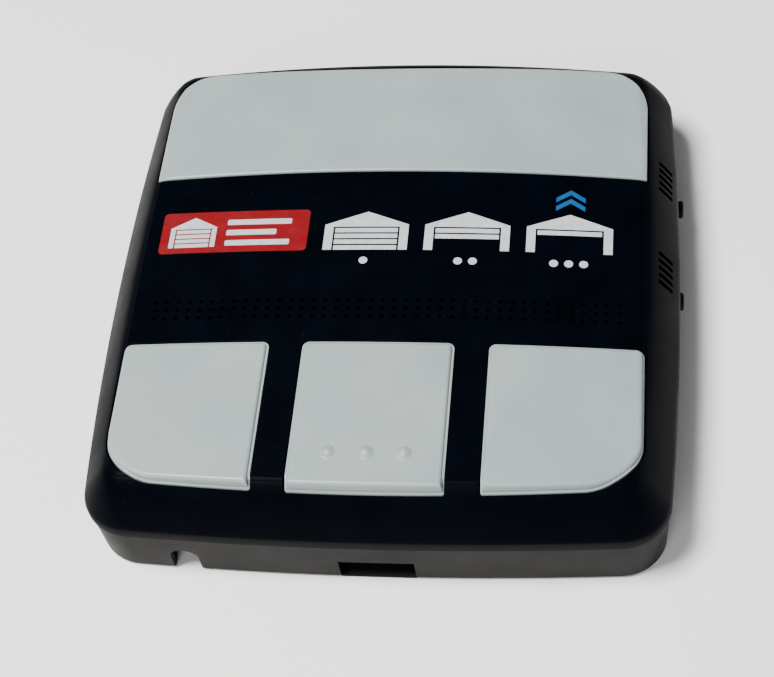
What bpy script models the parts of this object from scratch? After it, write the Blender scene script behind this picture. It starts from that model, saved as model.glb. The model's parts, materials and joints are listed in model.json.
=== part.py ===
"""A wall-mounted garage door controller: a square, crowned case with a warning light lens, three door
buttons, a siren, two side buttons and the circuit board behind them.

The case lies on its back. +Z points out of the wall, +Y is the top of the case (the lens end), and the
origin is the middle of the back face. Heights along Y are measured from a datum line a little below the
middle: every piece and cutter hangs on an empty that stands on it. The script works in metres; MM turns
millimetres into metres.
"""

import math

import bmesh
import bpy
from mathutils import Matrix, Vector

MM = 0.001

# Case: a square with slightly bulging sides and rounded corners seen from the front. It has a vertical
# rim, a sloping shoulder that ends at a crease, and a face that is crowned from left to right.
CASE_HALF_X = 62.9 * MM
CASE_HALF_Y = 64.2 * MM
MIDDLE_Y = 1.8 * MM
SIDE_RADIUS = 800 * MM
CORNER_RADIUS = 10.5 * MM
SIDE_STEPS = 8
CORNER_STEPS = 6
RIM_BOTTOM_Z = 13.6 * MM
RIM_TOP_Z = 15.7 * MM
CREASE_INSET = 7.3 * MM
FACE_Z = 27.9 * MM
CROWN_RADIUS = 695 * MM
CREASE_BLEND = 2.0 * MM
SHOULDER_END = 10.5 * MM
WALL = 2.0 * MM
GAP = 0.3 * MM

# Rear housing.
HOUSING_TOP_Z = RIM_BOTTOM_Z - GAP
HOUSING_FLOOR = 2.0 * MM
HOUSING_WALL = 3.1 * MM
LIP_TOP_Z = 15.0 * MM

# Lens and door buttons, seen from the front. Both stand a little proud of the face.
LENS_HALF_X = 55.5 * MM
LENS_BOTTOM_Y = 25.4 * MM
LENS_TOP_Y = 57.6 * MM
LENS_RADIUS = 10.5 * MM
LENS_PROUD = 0.5 * MM
LENS_SKIRT_Z = 22.6 * MM
BUTTON_PROUD = 0.8 * MM
BUTTON_SKIRT_Z = 23.2 * MM
BUTTON_TOP_Y = -20.8 * MM
BUTTON_BOTTOM_Y = -56.5 * MM
BUTTON_BOW_RADIUS = 500 * MM
BUTTON_BOW_STEP = 8 * MM
BUTTON_MIDDLE_HALF = 16.1 * MM
BUTTON_INNER_X = 23.3 * MM
BUTTON_OUTER_X = 55.3 * MM
BUTTON_SMALL_RADIUS = 1.4 * MM
BUTTON_LARGE_RADIUS = 11.5 * MM
BUTTON_SHARP_RADIUS = 0.4 * MM
CAP_WALL = 1.6 * MM
WINDOW_GAP = 0.35 * MM
WINDOW_CUT_Z = 16.5 * MM
STRIP_X = (BUTTON_MIDDLE_HALF + BUTTON_INNER_X) / 2
BUTTON_CENTRES = {
    "left": -(BUTTON_INNER_X + BUTTON_OUTER_X) / 2,
    "middle": 0.0,
    "right": (BUTTON_INNER_X + BUTTON_OUTER_X) / 2,
}
SWITCH_Y = -45.0 * MM

# Siren holes: rows of small holes across the face.
HOLE_ROWS = 3
HOLE_COLUMNS = 41
HOLE_ROW_PITCH = 2.13 * MM
HOLE_COLUMN_PITCH = 2.5 * MM
HOLE_RADIUS = 0.55 * MM
HOLE_MIDDLE_Y = -11.8 * MM

# Circuit board and what it carries.
BOARD_INSET = 6.8 * MM
BOARD_BOTTOM_Z = 12.4 * MM
BOARD_TOP_Z = 14.0 * MM
ON_BOARD_Z = BOARD_TOP_Z + GAP
UNDER_BOARD_Z = BOARD_BOTTOM_Z - GAP

# Screw posts: two beside the face, two under the strips between the buttons.
POST_RADIUS = 3.2 * MM
POSTS = [
    (-50.5 * MM, 15 * MM),
    (50.5 * MM, 15 * MM),
    (-STRIP_X, -50 * MM),
    (STRIP_X, -50 * MM),
]
SCREW_RADIUS = 1.4 * MM
SCREW_HEAD_RADIUS = 2.7 * MM
SCREW_SEAT_Z = 6.3 * MM
SCREW_TIP_Z = 21.0 * MM

# Wiring recesses in the back: one for the opener's wires, one for the power cord.
RECESS_ROOF_Z = 9.0 * MM
RECESS_WALL = 1.4 * MM
RECESS_MOUTH_Y = -58.8 * MM
WIRE_RECESS_X = (-12.6 * MM, 14.4 * MM)
WIRE_RECESS_TOP_Y = -41.0 * MM
WIRE_NOTCH_X = (-7.2 * MM, 8.7 * MM)
WIRE_NOTCH_Z = 6.9 * MM
CORD_X = -40.1 * MM
CORD_RECESS_HALF = 6.2 * MM
CORD_RECESS_TOP_Y = -24.0 * MM
CORD_NOTCH_RADIUS = 3.0 * MM
CORD_NOTCH_Z = 5.3 * MM

# Terminal block for three doors, hanging under the board into the wire recess.
TERMINALS = 6
TERMINAL_PITCH = 3.5 * MM
TERMINAL_X = 0.9 * MM
TERMINAL_Y = (-53.0 * MM, -44.6 * MM)
TERMINAL_Z = 3.4 * MM

# Side buttons in the right-hand wall of the housing.
SIDE_BUTTON_Y = {"upper": 29.3 * MM, "lower": 3.2 * MM}
SIDE_BUTTON_Z = 10.4 * MM
SIDE_BUTTON_RADIUS = 2.0 * MM
SIDE_BUTTON_TIP_X = 63.8 * MM

# Hooks on the cover that hold the top edge of the case shut.
HOOK_X = 30 * MM
HOOK_HALF = 5 * MM
HOOK_INNER_Y = 59.9 * MM
HOOK_OUTER_Y = 61.2 * MM

# Siren: a small round loudspeaker behind the holes.
SIREN_Y = 2.0 * MM
SIREN_RADIUS = 19.0 * MM

# Keyholes in the back, each with a closed pocket behind it that keeps the wall screw off the board.
KEYHOLE_X = 38 * MM
KEYHOLE_Y = 18 * MM
KEYHOLE_HEAD = 4.6 * MM
KEYHOLE_SLOT = 2.3 * MM
KEYHOLE_LENGTH = 9.5 * MM
POCKET_REACH = 5.4 * MM
POCKET_ROOF_Z = 6.9 * MM
POCKET_WALL = 1.2 * MM

# Pins that carry the board near its top corners.
BOARD_PINS = [(-40 * MM, 48 * MM), (40 * MM, 48 * MM)]
BOARD_PIN_RADIUS = 2 * MM

# Heights that reach clear above and clear below the case, for cutters.
ABOVE_Z = 40 * MM
BELOW_Z = -1 * MM

# A flat hollow in the back for the rating label.
LABEL = ((-26 * MM, -36 * MM), (26 * MM, -10 * MM))
LABEL_DEPTH = 0.5 * MM

# Warning lamps under the lens.
LED_SIZE = (5 * MM, 5 * MM, 1.6 * MM)
LIGHT_BOX_WALL = 1.2 * MM
LED_Y = 41 * MM
LED_PITCH = 17 * MM

COLOURS = {
    "cover_plastic": ((0.010, 0.011, 0.014), 0.42, 0.0),
    "housing_plastic": ((0.030, 0.029, 0.028), 0.48, 0.0),
    "lens_white": ((0.72, 0.77, 0.77), 0.38, 0.0),
    "reflector_white": ((0.85, 0.85, 0.83), 0.5, 0.0),
    "board_green": ((0.02, 0.16, 0.07), 0.4, 0.0),
    "component_black": ((0.02, 0.02, 0.022), 0.5, 0.0),
    "relay_blue": ((0.03, 0.12, 0.35), 0.4, 0.0),
    "terminal_green": ((0.05, 0.30, 0.14), 0.45, 0.0),
    "steel": ((0.62, 0.62, 0.64), 0.3, 1.0),
    "brass": ((0.75, 0.58, 0.25), 0.3, 1.0),
    "aluminium": ((0.78, 0.78, 0.80), 0.35, 1.0),
    "foam": ((0.03, 0.03, 0.03), 0.9, 0.0),
    "paper_cone": ((0.05, 0.045, 0.04), 0.8, 0.0),
    "label_silver": ((0.60, 0.60, 0.60), 0.5, 0.0),
    "lamp_white": ((0.9, 0.88, 0.7), 0.3, 0.0),
}


# ---------------------------------------------------------------- scene and materials


def clear_scene():
    for obj in list(bpy.data.objects):
        bpy.data.objects.remove(obj)


def collection(name):
    made = bpy.data.collections.new(name)
    bpy.context.scene.collection.children.link(made)
    return made


def material(name):
    found = bpy.data.materials.get(name)
    if found:
        return found
    colour, roughness, metallic = COLOURS[name]
    made = bpy.data.materials.new(name)
    made.use_nodes = True
    shader = made.node_tree.nodes["Principled BSDF"]
    shader.inputs["Base Color"].default_value = (*colour, 1)
    shader.inputs["Roughness"].default_value = roughness
    shader.inputs["Metallic"].default_value = metallic
    return made


def finish(mesh_builder, name, material_name):
    """Turns a bmesh into a named object."""
    bmesh.ops.recalc_face_normals(mesh_builder, faces=mesh_builder.faces)
    mesh = bpy.data.meshes.new(name)
    mesh_builder.to_mesh(mesh)
    mesh_builder.free()
    mesh.shade_smooth()
    mesh.set_sharp_from_angle(angle=math.radians(35))
    return placed(mesh, name, material_name)


def placed(mesh, name, material_name):
    """Hangs a mesh on the datum: a part if it has a material, and otherwise a cutter."""
    obj = bpy.data.objects.new(name, mesh)
    obj.parent = DATUM
    if material_name:
        mesh.materials.append(material(material_name))
        PARTS.objects.link(obj)
    else:
        CUTTERS.objects.link(obj)
        obj.hide_render = True
        obj.display_type = "WIRE"
    return obj


def boolean(obj, operation, other):
    modifier = obj.modifiers.new(f"{operation.lower()} {other.name}", "BOOLEAN")
    modifier.operation = operation
    modifier.object = other
    return obj


# ---------------------------------------------------------------- outlines


def corner_centre():
    """Centre of the upper right corner's arc, which touches both bulging sides."""
    x, y = CASE_HALF_X - CORNER_RADIUS, CASE_HALF_Y - CORNER_RADIUS
    reach = SIDE_RADIUS - CORNER_RADIUS
    for _ in range(20):
        x = CASE_HALF_X - SIDE_RADIUS + math.sqrt(reach**2 - y**2)
        y = CASE_HALF_Y - SIDE_RADIUS + math.sqrt(reach**2 - x**2)
    return x, y


def case_outline(inset=0.0):
    """The case's outline, anticlockwise, moved inwards along its normal by inset."""
    corner_x, corner_y = corner_centre()
    side_radius = SIDE_RADIUS - inset
    corner_radius = max(CORNER_RADIUS - inset, 0.8 * MM)
    side_angle = math.atan2(corner_y, corner_x - CASE_HALF_X + SIDE_RADIUS)
    end_angle = math.atan2(corner_x, corner_y - CASE_HALF_Y + SIDE_RADIUS)
    quarter = []
    for step in range(1, SIDE_STEPS // 2):
        angle = side_angle * 2 * step / SIDE_STEPS
        x = CASE_HALF_X - SIDE_RADIUS + side_radius * math.cos(angle)
        quarter.append(Vector((x, side_radius * math.sin(angle))))
    for step in range(CORNER_STEPS + 1):
        angle = side_angle + (math.pi / 2 - end_angle - side_angle) * step / CORNER_STEPS
        arc = Vector((math.cos(angle), math.sin(angle)))
        quarter.append(Vector((corner_x, corner_y)) + corner_radius * arc)
    for step in range(SIDE_STEPS // 2 - 1, 0, -1):
        angle = end_angle * 2 * step / SIDE_STEPS
        y = CASE_HALF_Y - SIDE_RADIUS + side_radius * math.cos(angle)
        quarter.append(Vector((side_radius * math.sin(angle), y)))
    right, top = Vector((CASE_HALF_X - inset, 0)), Vector((0, CASE_HALF_Y - inset))
    upper_right = [right, *quarter, top]
    upper_left = [Vector((-p.x, p.y)) for p in reversed(upper_right[:-1])]
    upper = upper_right + upper_left
    lower = [Vector((p.x, -p.y)) for p in reversed(upper[1:-1])]
    return [p + Vector((0, MIDDLE_Y)) for p in upper + lower]


def rounded_outline(x_range, y_range, radii, grow=0.0):
    """A rectangle with its own radius at each corner, anticlockwise from the lower left.

    grow moves every side outwards, or inwards if it is negative, and the radii follow.
    """
    x0, x1 = x_range[0] - grow, x_range[1] + grow
    y0, y1 = y_range[0] - grow, y_range[1] + grow
    corners = [(x0, y0, 1, 1), (x1, y0, -1, 1), (x1, y1, -1, -1), (x0, y1, 1, -1)]
    points = []
    for quarter, ((x, y, sign_x, sign_y), radius) in enumerate(zip(corners, radii)):
        radius = max(radius + grow, 0.3 * MM)
        centre = Vector((x + sign_x * radius, y + sign_y * radius))
        steps = 6 if radius > 4 * MM else 2
        for step in range(steps + 1):
            angle = math.pi * (1 + quarter / 2) + math.pi / 2 * step / steps
            points.append(centre + radius * Vector((math.cos(angle), math.sin(angle))))
    return points


def button_outline(side, grow=0.0):
    """Outline of a door button: the outer lower corners of the outer two are large."""
    small, large, sharp = BUTTON_SMALL_RADIUS, BUTTON_LARGE_RADIUS, BUTTON_SHARP_RADIUS
    shapes = {
        "left": ((-BUTTON_OUTER_X, -BUTTON_INNER_X), (large, sharp, small, small)),
        "middle": ((-BUTTON_MIDDLE_HALF, BUTTON_MIDDLE_HALF), (sharp, sharp, small, small)),
        "right": ((BUTTON_INNER_X, BUTTON_OUTER_X), (sharp, large, small, small)),
    }
    x_range, radii = shapes[side]
    return bowed(rounded_outline(x_range, (BUTTON_BOTTOM_Y, BUTTON_TOP_Y), radii, grow))


def bowed(outline):
    """The same outline with its lower edge divided and bent to follow the end of the case."""
    bent = []
    for start, end in zip(outline, outline[1:] + outline[:1]):
        # Only the lower edge runs far to the right, so only that edge is divided.
        pieces = max(1, round((end.x - start.x) / BUTTON_BOW_STEP))
        for piece in range(pieces):
            point = start.lerp(end, piece / pieces)
            share = (BUTTON_TOP_Y - point.y) / (BUTTON_TOP_Y - BUTTON_BOTTOM_Y)
            point.y += share * point.x**2 / (2 * BUTTON_BOW_RADIUS)
            bent.append(point)
    return bent


def lens_outline(grow=0.0):
    radii = (0.4 * MM, 0.4 * MM, LENS_RADIUS, LENS_RADIUS)
    return rounded_outline((-LENS_HALF_X, LENS_HALF_X), (LENS_BOTTOM_Y, LENS_TOP_Y), radii, grow)


# ---------------------------------------------------------------- solids


def prism(outline, z_range, name, material_name=None):
    """An outline extruded from the lower to the upper height."""
    builder = bmesh.new()
    base = builder.faces.new([builder.verts.new((*p, z_range[0])) for p in outline])
    made = bmesh.ops.extrude_face_region(builder, geom=[base])["geom"]
    top = [item for item in made if isinstance(item, bmesh.types.BMVert)]
    bmesh.ops.translate(builder, verts=top, vec=(0, 0, z_range[1] - z_range[0]))
    return finish(builder, name, material_name)


def loft(rings, name, material_name=None):
    """A closed body through rings of the same number of points, with both ends capped."""
    builder = bmesh.new()
    made = [[builder.verts.new(point) for point in ring] for ring in rings]
    for lower, upper in zip(made, made[1:]):
        for index in range(len(lower)):
            following = (index + 1) % len(lower)
            builder.faces.new(
                (lower[index], lower[following], upper[following], upper[index])
            )
    builder.faces.new(list(reversed(made[0])))
    builder.faces.new(made[-1])
    bmesh.ops.triangulate(builder, faces=builder.faces)
    return finish(builder, name, material_name)


def add_box(builder, low, high):
    size = [b - a for a, b in zip(low, high)]
    centre = [(a + b) / 2 for a, b in zip(low, high)]
    matrix = Matrix.Translation(centre) @ Matrix.Diagonal((*size, 1))
    return bmesh.ops.create_cube(builder, size=1, matrix=matrix)["verts"]


def box(low, high, name, material_name=None, bevel=0.0):
    builder = bmesh.new()
    add_box(builder, low, high)
    obj = finish(builder, name, material_name)
    if bevel:
        modifier = obj.modifiers.new("rounded edges", "BEVEL")
        modifier.width = bevel
        modifier.segments = 1
    return obj


def boxes(corner_pairs, name, material_name=None):
    """Several separate boxes in one mesh, for a Boolean."""
    builder = bmesh.new()
    for low, high in corner_pairs:
        add_box(builder, low, high)
    return finish(builder, name, material_name)


def add_cylinder(builder, centre, radius, length, axis="Z", segments=16):
    """A cylinder whose middle is at centre."""
    turn = {"X": Matrix.Rotation(math.pi / 2, 4, "Y"), "Y": Matrix.Rotation(math.pi / 2, 4, "X")}
    matrix = Matrix.Translation(centre) @ turn.get(axis, Matrix.Identity(4))
    bmesh.ops.create_cone(
        builder,
        cap_ends=True,
        segments=segments,
        radius1=radius,
        radius2=radius,
        depth=length,
        matrix=matrix,
    )


def cylinders(specs, name, material_name=None, segments=16):
    """Several separate cylinders in one mesh, each (centre, radius, length, axis)."""
    builder = bmesh.new()
    for centre, radius, length, axis in specs:
        add_cylinder(builder, centre, radius, length, axis, segments)
    return finish(builder, name, material_name)


def turned(profile, name, material_name, place=(0, 0, 0), axis="Z", steps=20):
    """A turned shape: profile is (radius, height) from the top down its outer side to the bottom."""
    builder = bmesh.new()
    verts = [builder.verts.new((radius, 0, height)) for radius, height in profile]
    for first, second in zip(verts, verts[1:]):
        builder.edges.new((first, second))
    mesh = bpy.data.meshes.new(name)
    builder.to_mesh(mesh)
    builder.free()
    obj = placed(mesh, name, material_name)
    obj.location = place
    if axis == "X":
        obj.rotation_euler.y = math.pi / 2
    screw = obj.modifiers.new("turned", "SCREW")
    screw.steps = screw.render_steps = steps
    screw.use_merge_vertices = True
    screw.merge_threshold = 0.01 * MM
    screw.use_smooth_shade = False
    return obj


# ---------------------------------------------------------------- the case's surface


def soft_minimum(a, b, width):
    """The lower of two heights, with the corner between them rounded over width."""
    share = max(width - abs(a - b), 0) / width
    return min(a, b) - share * share * width / 4


def face_height(x, inset, offset):
    """Height of the outer surface at a distance inset from the outline, moved outwards by offset."""
    crown = FACE_Z - x * x / (2 * CROWN_RADIUS)
    rise = (crown - RIM_TOP_Z) / CREASE_INSET
    shoulder = RIM_TOP_Z + rise * inset + offset * math.hypot(1, rise)
    return soft_minimum(shoulder, crown + offset, CREASE_BLEND)


def dome_rings(offset, first_inset):
    """Rings from the rim over the shoulder and crease to the middle of the face."""
    insets = [first_inset, 3.5 * MM, 5.6 * MM, 6.6 * MM, 7.6 * MM, 8.8 * MM, SHOULDER_END]
    rings = []
    for inset in insets:
        ring = case_outline(inset)
        rings.append([Vector((*p, face_height(p.x, inset, offset))) for p in ring])
    inner = case_outline(SHOULDER_END)
    for share in (0.72, 0.42, 0.14):
        level = [p * share for p in inner]
        rings.append([Vector((*p, face_height(p.x, 2 * SHOULDER_END, offset))) for p in level])
    return rings


def level_ring(inset, z):
    return [Vector((*p, z)) for p in case_outline(inset)]


def dome_block(offset, name):
    """A solid whose top is the case's surface moved outwards by offset: it trims lens and buttons."""
    first = max(-offset, 0) * 1.3
    rings = [level_ring(first, 5 * MM), *dome_rings(offset, first)]
    return loft(rings, name)


# ---------------------------------------------------------------- case shells


def make_front_cover():
    inner = dome_rings(-WALL, WALL + 0.6 * MM)
    shell = [
        *reversed(inner),
        level_ring(WALL, RIM_BOTTOM_Z + 1.6 * MM),
        level_ring(WALL, RIM_BOTTOM_Z),
        level_ring(0, RIM_BOTTOM_Z),
        *dome_rings(0, 0),
    ]
    cover = loft(shell, "front_cover", "cover_plastic")
    windows = {"lens": lens_outline(WINDOW_GAP)}
    for side in BUTTON_CENTRES:
        windows[side] = button_outline(side, WINDOW_GAP)
    for name, outline in windows.items():
        cutter = prism(outline, (WINDOW_CUT_Z, ABOVE_Z), f"{name}_window")
        boolean(cover, "DIFFERENCE", cutter)
    boolean(cover, "UNION", make_cover_posts())
    boolean(cover, "UNION", make_barbs())
    pilot = SCREW_RADIUS + GAP
    holes = [((x, y, 18 * MM), pilot, 9 * MM, "Z") for x, y in POSTS]
    boolean(cover, "DIFFERENCE", cylinders(holes, "pilot_holes", segments=12))
    boolean(cover, "DIFFERENCE", make_siren_hole_cutter())
    return cover


def make_cover_posts():
    """Screw posts and top hooks, which grow down from inside the cover."""
    builder = bmesh.new()
    for x, y in POSTS:
        low = ON_BOARD_Z
        high = face_height(x, 2 * SHOULDER_END, -WALL / 2)
        centre = (x, y, (low + high) / 2)
        add_cylinder(builder, centre, POST_RADIUS, high - low)
    for x in (-HOOK_X, HOOK_X):
        left, right = x - HOOK_HALF, x + HOOK_HALF
        add_box(builder, (left, HOOK_INNER_Y, 9.6 * MM), (right, HOOK_OUTER_Y, 21.0 * MM))
    return finish(builder, "cover_posts", None)


def make_barbs():
    """The barb on the foot of each hook, which catches in the housing's wall."""
    pairs = []
    for x in (-HOOK_X, HOOK_X):
        low = (x - HOOK_HALF + 1 * MM, HOOK_INNER_Y + 0.5 * MM, 9.8 * MM)
        pairs.append((low, (x + HOOK_HALF - 1 * MM, HOOK_OUTER_Y + 1 * MM, 11.4 * MM)))
    return boxes(pairs, "barbs")


def make_siren_hole_cutter():
    builder = bmesh.new()
    for row in range(HOLE_ROWS):
        for column in range(HOLE_COLUMNS):
            x = (column - (HOLE_COLUMNS - 1) / 2) * HOLE_COLUMN_PITCH
            y = HOLE_MIDDLE_Y + (row - (HOLE_ROWS - 1) / 2) * HOLE_ROW_PITCH
            centre = (x, y, FACE_Z - 2 * MM)
            add_cylinder(builder, centre, HOLE_RADIUS, 8 * MM, segments=6)
    return finish(builder, "siren_holes", None)


def keyhole_outline(x):
    """A round hole for a screw head with a slot above it for the screw's neck."""
    head = Vector((x, KEYHOLE_Y))
    neck_angle = math.asin(KEYHOLE_SLOT / KEYHOLE_HEAD)
    start = math.pi / 2 + neck_angle
    sweep = 2 * math.pi - 2 * neck_angle
    points = []
    for step in range(13):
        angle = start + sweep * step / 12
        points.append(head + KEYHOLE_HEAD * Vector((math.cos(angle), math.sin(angle))))
    top = head + Vector((0, KEYHOLE_LENGTH))
    for step in range(7):
        angle = math.pi * step / 6
        points.append(top + KEYHOLE_SLOT * Vector((math.cos(angle), math.sin(angle))))
    return points


def make_rear_housing():
    shell = [
        level_ring(1.5 * MM, 0),
        level_ring(0.9 * MM, 0.8 * MM),
        level_ring(0.4 * MM, HOUSING_TOP_Z),
        level_ring(WALL + GAP, HOUSING_TOP_Z),
        level_ring(WALL + GAP, LIP_TOP_Z),
        level_ring(HOUSING_WALL + 0.4 * MM, LIP_TOP_Z),
        level_ring(HOUSING_WALL + 0.4 * MM, HOUSING_FLOOR),
    ]
    housing = loft(shell, "rear_housing", "housing_plastic")
    boolean(housing, "UNION", make_housing_posts())
    boolean(housing, "DIFFERENCE", make_recess_cutter())
    boolean(housing, "DIFFERENCE", make_wall_cutter())
    cut_screw_seats(housing)
    for x in (-KEYHOLE_X, KEYHOLE_X):
        name = "keyhole_right" if x > 0 else "keyhole_left"
        cutter = prism(keyhole_outline(x), (BELOW_Z, HOUSING_FLOOR + 1 * MM), name)
        boolean(housing, "DIFFERENCE", cutter)
    return housing


def recess_boxes(grow):
    """The two wiring recesses, or with grow the blocks of plastic around them."""
    base = -2 * MM if not grow else 1 * MM
    roof = RECESS_ROOF_Z + grow
    mouth = RECESS_MOUTH_Y - (0.6 * MM if grow else 0)
    x0, x1 = WIRE_RECESS_X
    cord0, cord1 = CORD_X - CORD_RECESS_HALF, CORD_X + CORD_RECESS_HALF
    return [
        ((x0 - grow, mouth, base), (x1 + grow, WIRE_RECESS_TOP_Y + grow, roof)),
        ((cord0 - grow, mouth, base), (cord1 + grow, CORD_RECESS_TOP_Y + grow, roof)),
    ]


def pocket_boxes(grow, low_z):
    """The room behind each keyhole for a screw's head, or with grow the block of plastic around it."""
    reach = POCKET_REACH + grow
    pairs = []
    for x in (-KEYHOLE_X, KEYHOLE_X):
        low = (x - reach, KEYHOLE_Y - reach, low_z)
        pairs.append((low, (x + reach, KEYHOLE_Y + KEYHOLE_LENGTH + reach, POCKET_ROOF_Z + grow)))
    return pairs


def make_housing_posts():
    builder = bmesh.new()
    base = HOUSING_FLOOR / 2
    height = UNDER_BOARD_Z - base
    for x, y in POSTS:
        add_cylinder(builder, (x, y, base + height / 2), POST_RADIUS, height)
    for x, y in BOARD_PINS:
        add_cylinder(builder, (x, y, base + height / 2), BOARD_PIN_RADIUS, height, segments=10)
    for low, high in recess_boxes(RECESS_WALL) + pocket_boxes(POCKET_WALL, base):
        add_box(builder, low, high)
    return finish(builder, "housing_posts", None)


def make_recess_cutter():
    (x0, y0), (x1, y1) = LABEL
    pairs = recess_boxes(0) + pocket_boxes(0, HOUSING_FLOOR)
    pairs.append(((x0, y0, BELOW_Z), (x1, y1, LABEL_DEPTH)))
    catch_inner = HOOK_OUTER_Y + 0.2 * MM
    for x in (-HOOK_X, HOOK_X):
        half = HOOK_HALF + GAP
        pairs.append(((x - half, catch_inner, 9.2 * MM), (x + half, HOOK_OUTER_Y + 1.7 * MM, 12.2 * MM)))
    return boxes(pairs, "recesses")


def make_wall_cutter():
    """The notches in the lower wall, the openings in the recess roofs and the side button holes."""
    builder = bmesh.new()
    outside, inside = -66 * MM, RECESS_MOUTH_Y + 1 * MM
    add_box(builder, (WIRE_NOTCH_X[0], outside, -1 * MM), (WIRE_NOTCH_X[1], inside, WIRE_NOTCH_Z))
    half = terminal_half() + 0.5 * MM
    y0, y1 = TERMINAL_Y
    add_box(
        builder,
        (TERMINAL_X - half, y0 - 0.5 * MM, RECESS_ROOF_Z - 1 * MM),
        (TERMINAL_X + half, y1 + 0.5 * MM, 12 * MM),
    )
    add_box(
        builder,
        (CORD_X - 5 * MM, -36.5 * MM, RECESS_ROOF_Z - 1 * MM),
        (CORD_X + 5 * MM, CORD_RECESS_TOP_Y - 0.4 * MM, 12 * MM),
    )
    for y in SIDE_BUTTON_Y.values():
        centre = (60 * MM, y, SIDE_BUTTON_Z)
        add_cylinder(builder, centre, SIDE_BUTTON_RADIUS + GAP, 8 * MM, "X")
    cutter = finish(builder, "wall_openings", None)
    notch = prism(cord_notch_outline(), (outside, inside), "cord_notch")
    # The notch outline is drawn in X and Z, so its prism is turned to run along Y.
    notch.data.transform(Matrix(((1, 0, 0, 0), (0, 0, 1, 0), (0, 1, 0, 0), (0, 0, 0, 1))))
    notch.data.flip_normals()
    return boolean(cutter, "UNION", notch)


def cord_notch_outline():
    """A slot open at the back face, with a half-round top, as points of X and Z."""
    centre = Vector((CORD_X, CORD_NOTCH_Z))
    foot_z = -1 * MM
    points = [Vector((CORD_X + side * CORD_NOTCH_RADIUS, foot_z)) for side in (-1, 1)]
    for step in range(9):
        angle = math.pi * step / 8
        points.append(centre + CORD_NOTCH_RADIUS * Vector((math.cos(angle), math.sin(angle))))
    return points


def cut_screw_seats(housing):
    """Stepped holes from the back: a wide one for the head and a narrow one for the shank."""
    heads, shanks = [], []
    for x, y in POSTS:
        heads.append(((x, y, 0), SCREW_HEAD_RADIUS + GAP, 2 * SCREW_SEAT_Z, "Z"))
        shanks.append(((x, y, SCREW_SEAT_Z), SCREW_RADIUS + GAP, 16 * MM, "Z"))
    boolean(housing, "DIFFERENCE", cylinders(heads, "screw_head_seats", segments=12))
    boolean(housing, "DIFFERENCE", cylinders(shanks, "screw_shank_holes", segments=12))


# ---------------------------------------------------------------- lens and door buttons


def cap(name, outline, inner_outline, skirt_z, outer_block, inner_block):
    """A cap that follows the case's surface: an outline trimmed by the dome and hollowed from below."""
    body = prism(outline, (skirt_z, ABOVE_Z), name, "lens_white")
    boolean(body, "INTERSECT", outer_block)
    hollow = prism(inner_outline, (skirt_z / 2, ABOVE_Z - 1 * MM), f"{name}_hollow")
    boolean(hollow, "INTERSECT", inner_block)
    return boolean(body, "DIFFERENCE", hollow)


def make_lens():
    outer = dome_block(LENS_PROUD, "lens_dome")
    inner = dome_block(LENS_PROUD - CAP_WALL, "lens_inner_dome")
    outlines = lens_outline(), lens_outline(-CAP_WALL)
    lens = cap("warning_light_lens", *outlines, LENS_SKIRT_Z, outer, inner)
    ear_z = (23.6 * MM, 25.0 * MM)
    ears = []
    for x in (-30 * MM, 0, 30 * MM):
        low = (x - 6 * MM, LENS_BOTTOM_Y - 1.3 * MM, ear_z[0])
        high = (x + 6 * MM, LENS_BOTTOM_Y + 0.8 * MM, ear_z[1] - abs(x) * 0.03)
        ears.append((low, high))
    return boolean(lens, "UNION", boxes(ears, "lens_ears"))


def make_door_buttons():
    outer = dome_block(BUTTON_PROUD, "button_dome")
    inner = dome_block(BUTTON_PROUD - CAP_WALL, "button_inner_dome")
    for side, centre_x in BUTTON_CENTRES.items():
        outlines = button_outline(side), button_outline(side, -CAP_WALL)
        name = f"door_button_{side}"
        button = cap(name, *outlines, BUTTON_SKIRT_Z, outer, inner)
        boolean(button, "UNION", make_button_fittings(side, centre_x))


def make_button_fittings(side, centre_x):
    """The ears that keep a button in its window, and the post that presses its switch."""
    builder = bmesh.new()
    low_z, high_z = BUTTON_SKIRT_Z + 0.2 * MM, BUTTON_SKIRT_Z + 1.4 * MM
    add_box(
        builder,
        (centre_x - 9 * MM, BUTTON_TOP_Y - 0.8 * MM, low_z),
        (centre_x + 9 * MM, BUTTON_TOP_Y + 1.4 * MM, high_z - abs(centre_x) * 0.03),
    )
    reach, bite = 1.4 * MM, 0.8 * MM
    edges = {
        "left": [(-BUTTON_INNER_X, 1)],
        "middle": [(-BUTTON_MIDDLE_HALF, -1), (BUTTON_MIDDLE_HALF, 1)],
        "right": [(BUTTON_INNER_X, -1)],
    }
    for x, way in edges[side]:
        x_range = sorted((x - way * bite, x + way * reach))
        add_box(builder, (x_range[0], -42 * MM, low_z), (x_range[1], -30 * MM, high_z))
    top_z = face_height(centre_x, 2 * SHOULDER_END, BUTTON_PROUD - CAP_WALL / 2)
    low = switch_top_z() + GAP
    centre = (centre_x, SWITCH_Y, (top_z + low) / 2)
    add_cylinder(builder, centre, 1.8 * MM, top_z - low, segments=12)
    return finish(builder, f"fittings_{side}", None)


def switch_top_z():
    return ON_BOARD_Z + 5.0 * MM


# ---------------------------------------------------------------- light boxes


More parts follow.
